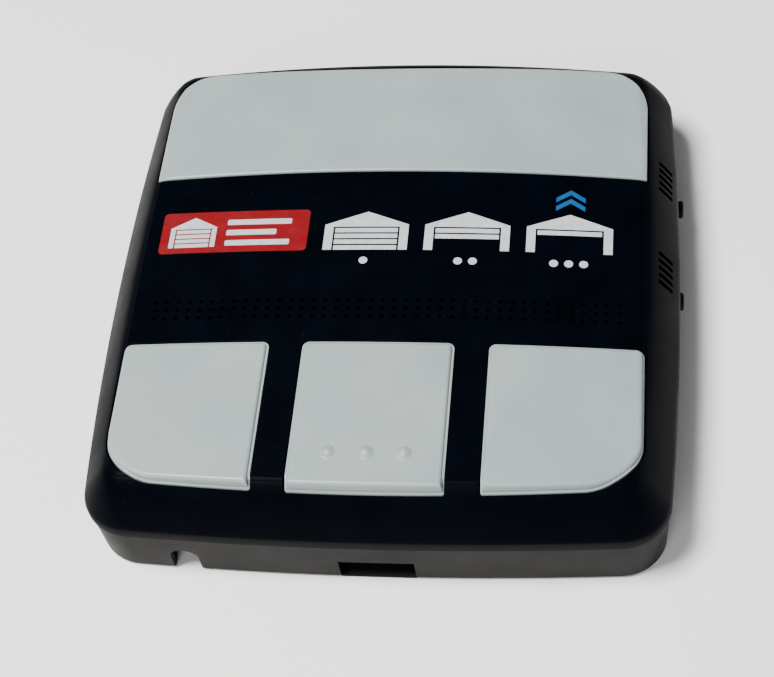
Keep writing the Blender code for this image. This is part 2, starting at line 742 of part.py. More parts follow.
def make_lens_light_box():
    """The white tray that spreads the lamps' light under the lens. It is open at the top."""
    corner = 7 * MM
    shape = (-52 * MM, 52 * MM), (27 * MM, 53 * MM), (corner / 3, corner / 3, corner, corner)
    tray = prism(
        rounded_outline(*shape), (ON_BOARD_Z, 21.8 * MM), "lens_light_box", "reflector_white"
    )
    inside = rounded_outline(*shape, -LIGHT_BOX_WALL)
    floor_z = ON_BOARD_Z + LIGHT_BOX_WALL
    boolean(tray, "DIFFERENCE", prism(inside, (floor_z, 25 * MM), "tray_inside"))
    holes = []
    half = LED_SIZE[0] / 2 + GAP
    for x in led_positions():
        low = (x - half, LED_Y - half, 12 * MM)
        holes.append((low, (x + half, LED_Y + half, 17 * MM)))
    return boolean(tray, "DIFFERENCE", boxes(holes, "tray_lamp_holes"))


def led_positions():
    return [(index - 2.5) * LED_PITCH for index in range(6)]


def make_button_baffle():
    """Walls that keep the light of each door button to itself."""
    corner = 11 * MM
    outline = rounded_outline(
        (-54 * MM, 54 * MM), (-54.8 * MM, -22.1 * MM), (corner, corner, corner / 6, corner / 6)
    )
    baffle = prism(outline, (ON_BOARD_Z, 21.6 * MM), "button_light_baffle", "reflector_white")
    for side in BUTTON_CENTRES:
        chamber = button_outline(side, -2.6 * MM)
        cutter = prism(chamber, (10 * MM, 30 * MM), f"chamber_{side}")
        boolean(baffle, "DIFFERENCE", cutter)
    reliefs = [
        ((x, y, 18 * MM), POST_RADIUS + GAP, 12 * MM, "Z") for x, y in POSTS if y < 0
    ]
    return boolean(baffle, "DIFFERENCE", cylinders(reliefs, "post_reliefs"))


# ---------------------------------------------------------------- electronics


def make_circuit_board():
    outline = case_outline(BOARD_INSET)
    board = prism(outline, (BOARD_BOTTOM_Z, BOARD_TOP_Z), "main_circuit_board", "board_green")
    middle = (BOARD_BOTTOM_Z + BOARD_TOP_Z) / 2
    holes = [((x, y, middle), SCREW_RADIUS + 0.6 * MM, 4 * MM, "Z") for x, y in POSTS]
    return boolean(board, "DIFFERENCE", cylinders(holes, "board_holes", segments=12))


def make_door_switches():
    for side, x in BUTTON_CENTRES.items():
        low = (x - 3 * MM, SWITCH_Y - 3 * MM, ON_BOARD_Z)
        high = (x + 3 * MM, SWITCH_Y + 3 * MM, ON_BOARD_Z + 3.5 * MM)
        body = box(low, high, f"door_switch_{side}", "component_black")
        well = [((x, SWITCH_Y, ON_BOARD_Z + 3.5 * MM), 1.7 * MM + GAP, 5 * MM, "Z")]
        boolean(body, "DIFFERENCE", cylinders(well, f"switch_well_{side}", segments=12))
        top = switch_top_z()
        profile = [(0, top), (1.5 * MM, top), (1.7 * MM, top - 0.3 * MM)]
        profile += [(1.7 * MM, ON_BOARD_Z + 2.1 * MM), (0, ON_BOARD_Z + 2.1 * MM)]
        name = f"door_switch_plunger_{side}"
        turned(profile, name, "reflector_white", (x, SWITCH_Y, 0), steps=12)


def make_side_buttons():
    """Each side button is one turned piece: nub, flange and the pin that works the switch."""
    nub, flange, pin = SIDE_BUTTON_RADIUS, 3.0 * MM, 0.9 * MM
    tip = SIDE_BUTTON_TIP_X
    profile = [(0, tip), (nub - 0.5 * MM, tip), (nub, tip - 0.4 * MM), (nub, 58.4 * MM)]
    profile += [(flange, 58.4 * MM), (flange, 57.2 * MM), (pin, 57.2 * MM)]
    profile += [(pin, 54.6 * MM), (0, 54.6 * MM)]
    for level, y in SIDE_BUTTON_Y.items():
        place = (0, y, SIDE_BUTTON_Z)
        turned(profile, f"side_button_{level}", "cover_plastic", place, axis="X", steps=16)
        low = (51.0 * MM, y - 3 * MM, 7.8 * MM)
        high = (56.2 * MM, y + 3 * MM, UNDER_BOARD_Z)
        body = box(low, high, f"side_switch_{level}", "component_black")
        well = [((56.2 * MM, y, SIDE_BUTTON_Z), pin + GAP, 5 * MM, "X")]
        boolean(body, "DIFFERENCE", cylinders(well, f"side_well_{level}", segments=12))


def make_siren():
    """A round loudspeaker: frame, magnet, cone and the foam ring that seals it to the cover."""
    place = (0, SIREN_Y, 0)
    rim, base = 22.6 * MM, ON_BOARD_Z
    frame = [
        (SIREN_RADIUS, rim),
        (SIREN_RADIUS, rim - 1.4 * MM),
        (15 * MM, rim - 2.0 * MM),
        (11 * MM, base + 3.4 * MM),
        (11 * MM, base + 2.2 * MM),
        (8.6 * MM, base + 2.2 * MM),
        (8.6 * MM, base + 3.6 * MM),
        (9.8 * MM, base + 3.8 * MM),
        (14.2 * MM, rim - 1.2 * MM),
        (17.2 * MM, rim - 0.9 * MM),
        (17.2 * MM, rim),
        (SIREN_RADIUS, rim),
    ]
    turned(frame, "siren_frame", "steel", place, steps=28)
    magnet = [(0, base + 5.0 * MM), (8.2 * MM, base + 5.0 * MM), (8.2 * MM, base), (0, base)]
    turned(magnet, "siren_magnet", "component_black", place, steps=24)
    cone = [
        (16.9 * MM, rim),
        (16.9 * MM, rim - 0.5 * MM),
        (13.4 * MM, rim - 0.5 * MM),
        (6.0 * MM, base + 5.3 * MM),
        (0, base + 5.3 * MM),
    ]
    cone += [(radius, z + 0.5 * MM) for radius, z in reversed(cone[2:])]
    # The inner skin runs back from the axis and ends at the rim.
    cone[-1] = (13.2 * MM, rim)
    cone.append((16.9 * MM, rim))
    turned(cone, "siren_cone", "paper_cone", place, steps=28)
    gasket = [
        (SIREN_RADIUS, 24.3 * MM),
        (SIREN_RADIUS, rim + GAP),
        (16.4 * MM, rim + GAP),
        (16.4 * MM, 24.3 * MM),
        (SIREN_RADIUS, 24.3 * MM),
    ]
    turned(gasket, "siren_gasket", "foam", place, steps=28)


def make_lamps():
    sx, sy, sz = LED_SIZE
    for index, x in enumerate(led_positions(), 1):
        low = (x - sx / 2, LED_Y - sy / 2, ON_BOARD_Z)
        high = (x + sx / 2, LED_Y + sy / 2, ON_BOARD_Z + sz)
        box(low, high, f"warning_lamp_{index}", "lamp_white")
    for side, x in BUTTON_CENTRES.items():
        low = (x - 1.8 * MM, -31.5 * MM, ON_BOARD_Z)
        high = (x + 1.8 * MM, -28.5 * MM, ON_BOARD_Z + 1.5 * MM)
        box(low, high, f"status_lamp_{side}", "lamp_white")


def make_board_components():
    base = ON_BOARD_Z
    radio = (-45 * MM, -6 * MM), (-27 * MM, 20 * MM)
    board_top = base + 0.8 * MM
    low, high = radio
    box((*low, base), (*high, board_top), "radio_module_board", "board_green")
    can_low = (low[0] + 1 * MM, low[1] + 1 * MM, board_top + GAP)
    can_high = (high[0] - 1 * MM, high[1] - 7 * MM, board_top + 2.6 * MM)
    box(can_low, can_high, "radio_shield_can", "aluminium", bevel=0.4 * MM)
    for index, side in enumerate(BUTTON_CENTRES):
        x = 24.5 * MM + index * 8.6 * MM
        low, high = (x, -13 * MM, base), (x + 7.4 * MM, 2.5 * MM, base + 8.4 * MM)
        box(low, high, f"door_relay_{side}", "relay_blue", bevel=0.5 * MM)
    for name, x, y, radius, height in (
        ("capacitor_large", 29 * MM, 14 * MM, 4.0 * MM, 8.5 * MM),
        ("capacitor_small", 39 * MM, 12 * MM, 3.1 * MM, 6.5 * MM),
    ):
        top = base + height
        profile = [(0, top), (radius - 0.5 * MM, top), (radius, top - 0.5 * MM)]
        profile += [(radius, base + 1.2 * MM), (radius - 0.4 * MM, base + 0.8 * MM)]
        profile += [(radius, base + 0.4 * MM), (radius, base), (0, base)]
        turned(profile, name, "aluminium", (x, y, 0), steps=16)
    low, high = (37 * MM, 17 * MM, base), (44 * MM, 24 * MM, base + 4 * MM)
    box(low, high, "power_inductor", "component_black", bevel=0.8 * MM)
    low, high = (-14 * MM, 21.6 * MM, base), (-4 * MM, 26.4 * MM, base + 1.4 * MM)
    box(low, high, "processor_chip", "component_black")


def terminal_half():
    return (TERMINALS * TERMINAL_PITCH + 0.8 * MM) / 2


def make_terminal_block():
    half = terminal_half()
    y0, y1 = TERMINAL_Y
    low = (TERMINAL_X - half, y0, TERMINAL_Z)
    high = (TERMINAL_X + half, y1, UNDER_BOARD_Z)
    block = box(low, high, "terminal_block", "terminal_green")
    entries, wells = [], []
    screw_y = (y0 + y1) / 2 + 1 * MM
    for index in range(TERMINALS):
        x = TERMINAL_X + (index - (TERMINALS - 1) / 2) * TERMINAL_PITCH
        low = (x - 1.15 * MM, y0 - 1 * MM, 6.6 * MM)
        entries.append((low, (x + 1.15 * MM, y0 + 3.2 * MM, 9.2 * MM)))
        wells.append(((x, screw_y, TERMINAL_Z), 1.45 * MM, 5 * MM, "Z"))
        make_terminal_screw(index + 1, x, screw_y)
    boolean(block, "DIFFERENCE", boxes(entries, "wire_entries"))
    boolean(block, "DIFFERENCE", cylinders(wells, "terminal_wells", segments=12))


def make_terminal_screw(number, x, y):
    """A slotted clamp screw whose head faces the back of the case."""
    radius = 1.15 * MM
    low, high = TERMINAL_Z + 0.5 * MM, TERMINAL_Z + 2.1 * MM
    builder = bmesh.new()
    add_cylinder(builder, (x, y, (low + high) / 2), radius, high - low, segments=12)
    screw = finish(builder, f"terminal_screw_{number}", "steel")
    slot_low = (x - 2 * MM, y - 0.25 * MM, low - 1 * MM)
    slot_high = (x + 2 * MM, y + 0.25 * MM, low + 0.7 * MM)
    slot = boxes([(slot_low, slot_high)], f"screw_slot_{number}")
    return boolean(screw, "DIFFERENCE", slot)


def make_power_jack():
    """A low socket that faces down the cord recess, with its centre pin."""
    y0, y1 = -36.0 * MM, CORD_RECESS_TOP_Y - 0.8 * MM
    low = (CORD_X - 4.5 * MM, y0, 3.0 * MM)
    high = (CORD_X + 4.5 * MM, y1, UNDER_BOARD_Z)
    jack = box(low, high, "power_jack", "component_black")
    bore_z = 6.2 * MM
    bore = [((CORD_X, y0, bore_z), 2.2 * MM, 16 * MM, "Y")]
    boolean(jack, "DIFFERENCE", cylinders(bore, "jack_bore"))
    builder = bmesh.new()
    pin_start, pin_end = y0 + 1 * MM, y0 + 7.7 * MM
    centre = (CORD_X, (pin_start + pin_end) / 2, bore_z)
    add_cylinder(builder, centre, 0.6 * MM, pin_end - pin_start, "Y", 10)
    finish(builder, "power_jack_pin", "brass")


def make_case_screws():
    for index, (x, y) in enumerate(POSTS, 1):
        head_low = SCREW_SEAT_Z - 2.2 * MM
        head_high = SCREW_SEAT_Z - GAP
        shank, head = SCREW_RADIUS, SCREW_HEAD_RADIUS
        profile = [(0, SCREW_TIP_Z), (0.5 * MM, SCREW_TIP_Z), (shank, SCREW_TIP_Z - 1.6 * MM)]
        profile += [(shank, head_high), (head, head_high), (head, head_low + 0.6 * MM)]
        profile += [(head - 0.7 * MM, head_low), (0, head_low)]
        screw = turned(profile, f"case_screw_{index}", "steel", (x, y, 0), steps=14)
        slot_low = (-1.6 * MM, -0.35 * MM, head_low - 1 * MM)
        slot_high = (1.6 * MM, 0.35 * MM, head_low + 1 * MM)
        arms = boxes([(slot_low, slot_high)], f"drive_slot_{index}")
        arms.location = (x, y, 0)
        boolean(screw, "DIFFERENCE", arms)


def make_label():
    (x0, y0), (x1, y1) = LABEL
    edge = 0.6 * MM
    outline = rounded_outline((x0 + edge, x1 - edge), (y0 + edge, y1 - edge), (1.5 * MM,) * 4)
    prism(outline, (0.05 * MM, 0.2 * MM), "rating_label", "label_silver")


def main():
    clear_scene()
    global PARTS, CUTTERS, DATUM
    PARTS = collection("garage_door_controller")
    CUTTERS = collection("cutters")
    DATUM = bpy.data.objects.new("datum", None)
    DATUM.location.y = -MIDDLE_Y
    PARTS.objects.link(DATUM)
    make_rear_housing()
    make_front_cover()
    make_lens()
    make_door_buttons()
    make_lens_light_box()
    make_button_baffle()
    make_circuit_board()
    make_door_switches()
    make_side_buttons()
    make_siren()
    make_lamps()
    make_board_components()
    make_terminal_block()
    make_power_jack()
    make_case_screws()
    make_label()


main()
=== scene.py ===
"""Finished looks of a wall-mounted garage door controller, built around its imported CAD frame.

Lengths are in millimetres until a mesh is written, when MM turns them into metres. +Z points out of
the case's face, +Y is the lens end, and the origin is the middle of the back face.
"""

import json
import math

import bmesh
import bpy
import numpy as np
from mathutils import Matrix, Vector
from mathutils.geometry import delaunay_2d_cdt


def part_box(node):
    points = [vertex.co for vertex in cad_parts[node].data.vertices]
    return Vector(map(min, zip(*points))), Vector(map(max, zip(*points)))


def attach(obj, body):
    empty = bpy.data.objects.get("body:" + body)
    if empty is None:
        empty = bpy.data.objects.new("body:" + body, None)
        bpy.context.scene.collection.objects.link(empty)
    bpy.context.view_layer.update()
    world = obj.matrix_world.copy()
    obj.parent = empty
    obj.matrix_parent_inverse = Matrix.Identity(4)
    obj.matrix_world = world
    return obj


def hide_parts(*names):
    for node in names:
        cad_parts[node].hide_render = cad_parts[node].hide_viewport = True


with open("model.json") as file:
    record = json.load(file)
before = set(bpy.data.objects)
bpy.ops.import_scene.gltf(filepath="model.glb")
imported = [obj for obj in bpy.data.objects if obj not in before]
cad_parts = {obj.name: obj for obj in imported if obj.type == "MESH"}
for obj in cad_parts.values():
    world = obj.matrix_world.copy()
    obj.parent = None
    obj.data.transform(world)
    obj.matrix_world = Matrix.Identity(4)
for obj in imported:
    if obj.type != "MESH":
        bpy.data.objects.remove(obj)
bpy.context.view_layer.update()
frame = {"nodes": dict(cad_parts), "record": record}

MM = 0.001


def node_box(name):
    """Lowest and highest corner of a CAD node, in millimetres."""
    low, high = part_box(name)
    return low / MM, high / MM


COVER_HIGH = node_box("front_cover")[1]
LENS_LOW, LENS_HIGH = node_box("warning_light_lens")
MIDDLE_LOW = node_box("door_button_middle")[0]
RIGHT_HIGH = node_box("door_button_right")[1]

# The case, seen from the front: bulging sides and rounded corners.
CASE_HALF_X = COVER_HIGH.x
CASE_HALF_Y = COVER_HIGH.y
SIDE_RADIUS = 800.0
CORNER_RADIUS = 10.5
SMALLEST_CORNER_RADIUS = 0.8
SIDE_STEPS = 44
CORNER_STEPS = 18

# Its section: a short vertical rim, a sloping shoulder, a crease and a face crowned left to right.
FACE_Z = COVER_HIGH.z
CROWN_RADIUS = 695.0
RIM_TOP_Z = 15.7
RIM_BOTTOM_Z = 13.6
RIM_ROUNDING = 0.6
RIM_DROP = 0.7
RIM_CHAMFER = 0.25
RIM_RINGS = (0, 0.12, 0.3, RIM_ROUNDING, 1.2, 2.0, 2.6, 3.3, 4.2)
CREASE_INSET = 7.3
CREASE_BLEND = 1.6
SHOULDER_BULGE = 0.42
CREASE_RINGS = (5.2, 6.0, 6.5, 6.8, 7.05, 7.3, 7.55, 7.85, 8.3, 9.0)
COVER_WALL = 2.0
COVER_WALL_BLEND = 0.6
WINDOW_GAP = 0.3
WINDOW_ROUNDING = 0.16
WINDOW_RINGS = (0, 0.03, 0.08, WINDOW_ROUNDING)

# Outlines of the lens and buttons: spacing of their points and how corners are divided.
OUTLINE_SPACING = 2.5
SMALLEST_RADIUS = 0.12
LARGE_RADIUS = 4
LARGE_ARC_STEPS = 20
SMALL_ARC_STEPS = 6

# Free points between the rings of a sheet, kept clear of the rings.
FIELD_SPACING = 3.0
FIELD_RANGE = (-54, 54)
LENS_FIELD_Y = (28, 54)
CAP_CLEARANCE = 3
WINDOW_CLEARANCE = 1.2
HOLE_CLEARANCE = 1.5
CREASE_CLEARANCE = 1
DOT_CLEARANCE = 0.8

# Lens.
LENS_X = (LENS_LOW.x, LENS_HIGH.x)
LENS_Y = (23.6, LENS_HIGH.y)
LENS_RADII = (0.4, 0.4, 10.5, 10.5)
LENS_BOW = 1.0
LENS_PROUD = 0.22
LENS_ROUNDING = 0.5
LENS_RINGS = (0, 0.03, 0.1, 0.2, 0.33, LENS_ROUNDING, 1.0)
CAP_WALL = 1.6
CAP_WALL_BLEND = 0.4

# Door buttons: the top stands proud, the wall meets a narrow flange near the cover.
BUTTON_Y = (-58.3, -22.6)
BUTTON_BOW_RADIUS = 500.0
BUTTON_MIDDLE_X = 16.1
BUTTON_INNER_X = 23.3
BUTTON_OUTER_X = RIGHT_HIGH.x
BUTTON_SMALL_RADIUS = 1.5
BUTTON_LARGE_RADIUS = 11.5
BUTTON_SHARP_RADIUS = 0.4
BUTTON_PROUD = 0.85
FLANGE_WIDTH = 0.34
FLANGE_PROUD = 0.12
FLANGE_ROUNDING = 0.1
WALL_START = FLANGE_WIDTH + 0.02
WALL_DRAFT = 0.14
BUTTON_ROUNDING = 0.75
BUTTON_ROUNDING_ANGLES = (15, 30, 45, 60, 75, 90)
BUTTONS = {
    "left": ((-BUTTON_OUTER_X, -BUTTON_INNER_X), (BUTTON_LARGE_RADIUS, BUTTON_SHARP_RADIUS)),
    "middle": ((-BUTTON_MIDDLE_X, BUTTON_MIDDLE_X), (BUTTON_SHARP_RADIUS, BUTTON_SHARP_RADIUS)),
    "right": ((BUTTON_INNER_X, BUTTON_OUTER_X), (BUTTON_SHARP_RADIUS, BUTTON_LARGE_RADIUS)),
}
DOT_PITCH = 7.8
DOT_Y = -50.3
DOT_RADIUS = 1.7
DOT_HEIGHT = 0.85
DOT_PLACES = (-1, 0, 1)
DOT_RINGS = (0.25, 0.5, 0.7, 0.85, 1.0)
DOT_STEPS = 24

# Siren holes.
HOLE_ROWS = 3
HOLE_COLUMNS = 41
HOLE_ROW_PITCH = 2.13
HOLE_COLUMN_PITCH = 2.5
HOLE_RADIUS = 0.46
HOLE_ROUNDING = 0.08
HOLE_MIDDLE_Y = -13.6
HOLE_STEPS = 12

# Short dark marks on the right shoulder, one group beside each side button.
MARK_X = (58.2, 61.2)
MARK_COUNT = 5
MARK_PITCH = 1.9
MARK_WIDTH = 1.0
MARK_RISE = -4.2

# Rear housing: its section is given as distances in from the outline and heights.
HOUSING_TOP_Z = 13.3
LIP_TOP_Z = 15.0
LIP_OUTER_INSET = 2.3
LIP_INNER_INSET = 3.5
HOUSING_FLOOR = 2.0
HOUSING_SECTION = (
    (1.6, 0),
    (1.1, 0.25),
    (0.9, 0.8),
    (0.4, HOUSING_TOP_Z - 0.25),
    (0.65, HOUSING_TOP_Z),
    (LIP_OUTER_INSET, HOUSING_TOP_Z),
    (LIP_OUTER_INSET, LIP_TOP_Z),
    (LIP_INNER_INSET, LIP_TOP_Z),
    (LIP_INNER_INSET, HOUSING_FLOOR),
)
HOUSING_EDGE_WIDTH = 0.18

# Cuts start outside the housing; added blocks start inside its floor.
CUT_LOW_Z = -1
CUT_LOW_Y = -70
RECESS_CUT_LOW_Z = -2.0
BLOCK_LOW_Z = 1.0

# Wiring recesses, their notches, keyholes with closed pockets, label and screw posts.
RECESS_ROOF_Z = 9.0
RECESS_WALL = 1.4
RECESS_MOUTH_Y = -60.6
RECESS_MOUTH_REACH = 0.6
WIRE_RECESS_X = (-12.6, 14.4)
WIRE_RECESS_TOP_Y = -42.8
WIRE_NOTCH_X = (-7.2, 8.7)
WIRE_NOTCH_Z = 6.9
# The tongue is a thin dark sheet at the foot of the wire notch: dark plastic, and painted shade for the
# inside of the notch.
TONGUE_Y = (-63.1, -57.8)
TONGUE_TOP_Z = 0.5
CORD_X = -40.1
CORD_RECESS_HALF = 6.2
CORD_RECESS_TOP_Y = -25.8
CORD_NOTCH_RADIUS = 3.0
CORD_NOTCH_Z = 5.3
KEYHOLE_X = 38.0
KEYHOLE_Y = 16.2
KEYHOLE_HEAD = 4.6
KEYHOLE_SLOT = 2.3
KEYHOLE_LENGTH = 9.5
POCKET_REACH = 5.4
POCKET_ROOF_Z = 6.9
POCKET_WALL = 1.2
LABEL = ((-26.0, -37.8), (26.0, -11.8))
LABEL_DEPTH = 0.5
TERMINAL_GAP = 0.5
TERMINAL_CUT_Z = (8.0, 12.0)
POSTS = ((-50.5, 13.2), (50.5, 13.2), (-19.7, -51.8), (19.7, -51.8))
POST_RADIUS = 4.0
POST_MIDDLE_Z = 6.5
POST_LENGTH = 11.0
SCREW_HEAD_RADIUS = 3.0
SCREW_SEAT_Z = 6.3

# Side buttons, turned about X: pin, flange and a nub with a rounded tip. The tip is dished a
# little, which is given as depths and radii.
SIDE_LEVELS = ("upper", "lower")
SIDE_BUTTON_RADIUS = 2.0
SIDE_PIN_RADIUS = 0.9
SIDE_FLANGE_RADIUS = 3.0
SIDE_FLANGE_X = (57.2, 58.4)
SIDE_TIP_ROUNDING = 0.6
SIDE_TIP_DISH = ((0, 0.9), (0.1, 0.6), (0.12, 0.2))
SIDE_HOLE_GAP = 0.25
SIDE_HOLE_X = 60
SIDE_HOLE_LENGTH = 8

# How finely the housing's and side buttons' round shapes are divided.
SIDE_STEPS_AROUND = 40
CYLINDER_STEPS = 48
KEYHOLE_HEAD_STEPS = 32
KEYHOLE_SLOT_STEPS = 16


# ---------------------------------------------------------------- outlines, seen from the front


def corner_centre():
    """Centre of the upper right corner's arc, which touches both bulging sides."""
    x, y = CASE_HALF_X - CORNER_RADIUS, CASE_HALF_Y - CORNER_RADIUS
    reach = SIDE_RADIUS - CORNER_RADIUS
    for _ in range(20):
        x = CASE_HALF_X - SIDE_RADIUS + math.sqrt(reach**2 - y**2)
        y = CASE_HALF_Y - SIDE_RADIUS + math.sqrt(reach**2 - x**2)
    return x, y


CORNER_X, CORNER_Y = corner_centre()
SIDE_ANGLE = math.atan2(CORNER_Y, CORNER_X - CASE_HALF_X + SIDE_RADIUS)
END_ANGLE = math.atan2(CORNER_X, CORNER_Y - CASE_HALF_Y + SIDE_RADIUS)


def case_outline(inset):
    """The case's outline, anticlockwise, moved inwards along its normal by inset."""
    side_radius = SIDE_RADIUS - inset
    corner_radius = max(CORNER_RADIUS - inset, SMALLEST_CORNER_RADIUS)
    quarter = [(CASE_HALF_X - inset, 0.0)]
    for step in range(1, SIDE_STEPS // 2):
        angle = SIDE_ANGLE * 2 * step / SIDE_STEPS
        x = CASE_HALF_X - SIDE_RADIUS + side_radius * math.cos(angle)
        quarter.append((x, side_radius * math.sin(angle)))
    for step in range(CORNER_STEPS + 1):
        angle = SIDE_ANGLE + (math.pi / 2 - END_ANGLE - SIDE_ANGLE) * step / CORNER_STEPS
        x = CORNER_X + corner_radius * math.cos(angle)
        quarter.append((x, CORNER_Y + corner_radius * math.sin(angle)))
    for step in range(SIDE_STEPS // 2 - 1, 0, -1):
        angle = END_ANGLE * 2 * step / SIDE_STEPS
        y = CASE_HALF_Y - SIDE_RADIUS + side_radius * math.cos(angle)
        quarter.append((side_radius * math.sin(angle), y))
    quarter.append((0.0, CASE_HALF_Y - inset))
    upper = quarter + [(-x, y) for x, y in reversed(quarter[:-1])]
    return upper + [(x, -y) for x, y in reversed(upper[1:-1])]


def inset_at(x, y):
    """Distance inwards from the case's outline at each point."""
    ax, ay = np.abs(x), np.abs(y)
    side = SIDE_RADIUS - np.hypot(ax - CASE_HALF_X + SIDE_RADIUS, ay)
    end = SIDE_RADIUS - np.hypot(ax, ay - CASE_HALF_Y + SIDE_RADIUS)
    dx, dy = ax - CORNER_X, ay - CORNER_Y
    above_side = math.cos(SIDE_ANGLE) * dy - math.sin(SIDE_ANGLE) * dx >= 0
    beside_end = math.cos(END_ANGLE) * dx - math.sin(END_ANGLE) * dy >= 0
    corner = CORNER_RADIUS - np.hypot(dx, dy)
    return np.where(above_side & beside_end, corner, np.minimum(side, end))


def densified(points, spacing):
    """The same closed outline with long edges divided."""
    dense = []
    for (ax, ay), (bx, by) in zip(points, points[1:] + points[:1]):
        steps = max(1, math.ceil(math.hypot(bx - ax, by - ay) / spacing))
        for step in range(steps):
            share = step / steps
            dense.append((ax + (bx - ax) * share, ay + (by - ay) * share))
    return dense


def rounded_outline(x_range, y_range, radii, grow=0.0):
    """A rectangle with its own radius at each corner, anticlockwise from the lower left."""
    x0, x1 = x_range[0] - grow, x_range[1] + grow
    y0, y1 = y_range[0] - grow, y_range[1] + grow
    corners = [(x0, y0, 1, 1), (x1, y0, -1, 1), (x1, y1, -1, -1), (x0, y1, 1, -1)]
    points = []
    for quarter, ((x, y, sign_x, sign_y), radius) in enumerate(zip(corners, radii)):
        radius = max(radius + grow, SMALLEST_RADIUS)
        steps = LARGE_ARC_STEPS if radius > LARGE_RADIUS else SMALL_ARC_STEPS
        for step in range(steps + 1):
            angle = math.pi * (1 + quarter / 2) + math.pi / 2 * step / steps
            place_x = x + sign_x * radius + radius * math.cos(angle)
            points.append((place_x, y + sign_y * radius + radius * math.sin(angle)))
    return points


def rounded_depth(x, y, x_range, y_range, radii):
    """Distance inwards from such a rectangle's outline, negative outside it."""
    middle_x, middle_y = sum(x_range) / 2, sum(y_range) / 2
    dx, dy = x - middle_x, y - middle_y
    lower = np.where(dx < 0, radii[0], radii[1])
    upper = np.where(dx < 0, radii[3], radii[2])
    radius = np.maximum(np.where(dy < 0, lower, upper), SMALLEST_RADIUS)
    qx = np.abs(dx) - (x_range[1] - x_range[0]) / 2 + radius
    qy = np.abs(dy) - (y_range[1] - y_range[0]) / 2 + radius
    outside = np.hypot(np.maximum(qx, 0), np.maximum(qy, 0))
    return radius - outside - np.minimum(np.maximum(qx, qy), 0)


def button_shape(side):
    x_range, (lower_left, lower_right) = BUTTONS[side]
    small = BUTTON_SMALL_RADIUS
    return x_range, BUTTON_Y, (lower_left, lower_right, small, small)


def button_outline(side, grow=0.0):
    """A rounded rectangle whose lower edge bows with the end of the case."""
    straight = densified(rounded_outline(*button_shape(side), grow), OUTLINE_SPACING)
    return [(x, y + bow_slope(x) * (BUTTON_Y[1] - y)) for x, y in straight]


def bow_slope(x):
    """How much shorter a button is at each x than in its middle, as a share of its length."""
    return x * x / (2 * BUTTON_BOW_RADIUS) / (BUTTON_Y[1] - BUTTON_Y[0])


def button_depth(side, x, y):
    slope = bow_slope(x)
    straight_y = (y - slope * BUTTON_Y[1]) / (1 - slope)
    return rounded_depth(x, straight_y, *button_shape(side))


def lens_outline(grow=0.0):
    """A rounded rectangle whose lower edge rises towards its middle."""
    straight = densified(rounded_outline(LENS_X, LENS_Y, LENS_RADII, grow), OUTLINE_SPACING)
    return [(x, y + lens_slope(x) * (LENS_Y[1] - y)) for x, y in straight]


def lens_slope(x):
    """How much shorter the lens is at each x than at its ends, as a share of its length."""
    return LENS_BOW * (1 - (x / LENS_X[1]) ** 2) / (LENS_Y[1] - LENS_Y[0])


def lens_depth(x, y):
    slope = lens_slope(x)
    straight_y = (y - slope * LENS_Y[1]) / (1 - slope)
    return rounded_depth(x, straight_y, LENS_X, LENS_Y, LENS_RADII)


def hole_centres():
    for row in range(HOLE_ROWS):
        y = HOLE_MIDDLE_Y + (row - (HOLE_ROWS - 1) / 2) * HOLE_ROW_PITCH
        for column in range(HOLE_COLUMNS):
            yield (column - (HOLE_COLUMNS - 1) / 2) * HOLE_COLUMN_PITCH, y


def hole_distance(x, y):
    """Distance from the nearest siren hole's centre."""
    half_columns, half_rows = (HOLE_COLUMNS - 1) / 2, (HOLE_ROWS - 1) / 2
    column = np.round(x / HOLE_COLUMN_PITCH).clip(-half_columns, half_columns)
    row = np.round((y - HOLE_MIDDLE_Y) / HOLE_ROW_PITCH).clip(-half_rows, half_rows)
    dx = x - column * HOLE_COLUMN_PITCH
    return np.hypot(dx, y - HOLE_MIDDLE_Y - row * HOLE_ROW_PITCH)


def circle(centre, radius, steps):
    turns = [2 * math.pi * step / steps for step in range(steps)]
    return [(centre[0] + radius * math.cos(a), centre[1] + radius * math.sin(a)) for a in turns]


# ---------------------------------------------------------------- heights


def soft_minimum(a, b, width):
    """The lower of two heights, with the corner between them rounded over width."""
    share = np.maximum(width - np.abs(a - b), 0) / width
    return np.minimum(a, b) - share * share * width / 4


def face_height(x, inset, offset=0.0):
    """Height of the case's surface at a distance inset from its outline, moved outwards by offset."""
    crown = FACE_Z - x * x / (2 * CROWN_RADIUS)
    rise = (crown - RIM_TOP_Z) / CREASE_INSET
    share = np.clip(inset / CREASE_INSET, 0, 1)
    bulge = SHOULDER_BULGE * (crown - RIM_TOP_Z) * share * (1 - share)
    shoulder = RIM_TOP_Z + rise * inset + bulge + offset * np.hypot(1, rise)
    return soft_minimum(shoulder, crown + offset, CREASE_BLEND)


def edge_drop(distance, radius):
    """How far a rounded edge lies below its surface, at a distance in from the edge."""
    inwards = np.clip(radius - distance, 0, radius)
    return radius - np.sqrt(radius * radius - inwards * inwards)


def cover_top(x, y):
    inset = inset_at(x, y)
    height = face_height(x, inset)
    height -= RIM_DROP * np.clip(RIM_ROUNDING - inset, 0, None) ** 2 / RIM_ROUNDING
    depths = [lens_depth(x, y), *(button_depth(side, x, y) for side in BUTTONS)]
    for depth in depths:
        height -= edge_drop(-depth - WINDOW_GAP, WINDOW_ROUNDING)
    height -= edge_drop(hole_distance(x, y) - HOLE_RADIUS, HOLE_ROUNDING)
    return height


def cover_bottom(x, y):
    inset = inset_at(x, y)
    chamfer = RIM_BOTTOM_Z + np.clip(RIM_CHAMFER - inset, 0, None)
    inner = face_height(x, inset, -COVER_WALL)
    rising = np.clip((inset - COVER_WALL) / COVER_WALL_BLEND, 0, 1)
    return chamfer + (np.maximum(inner, chamfer) - chamfer) * rising


def lens_top(x, y):
    surface = face_height(x, inset_at(x, y), LENS_PROUD)
    return surface - edge_drop(lens_depth(x, y), LENS_ROUNDING)


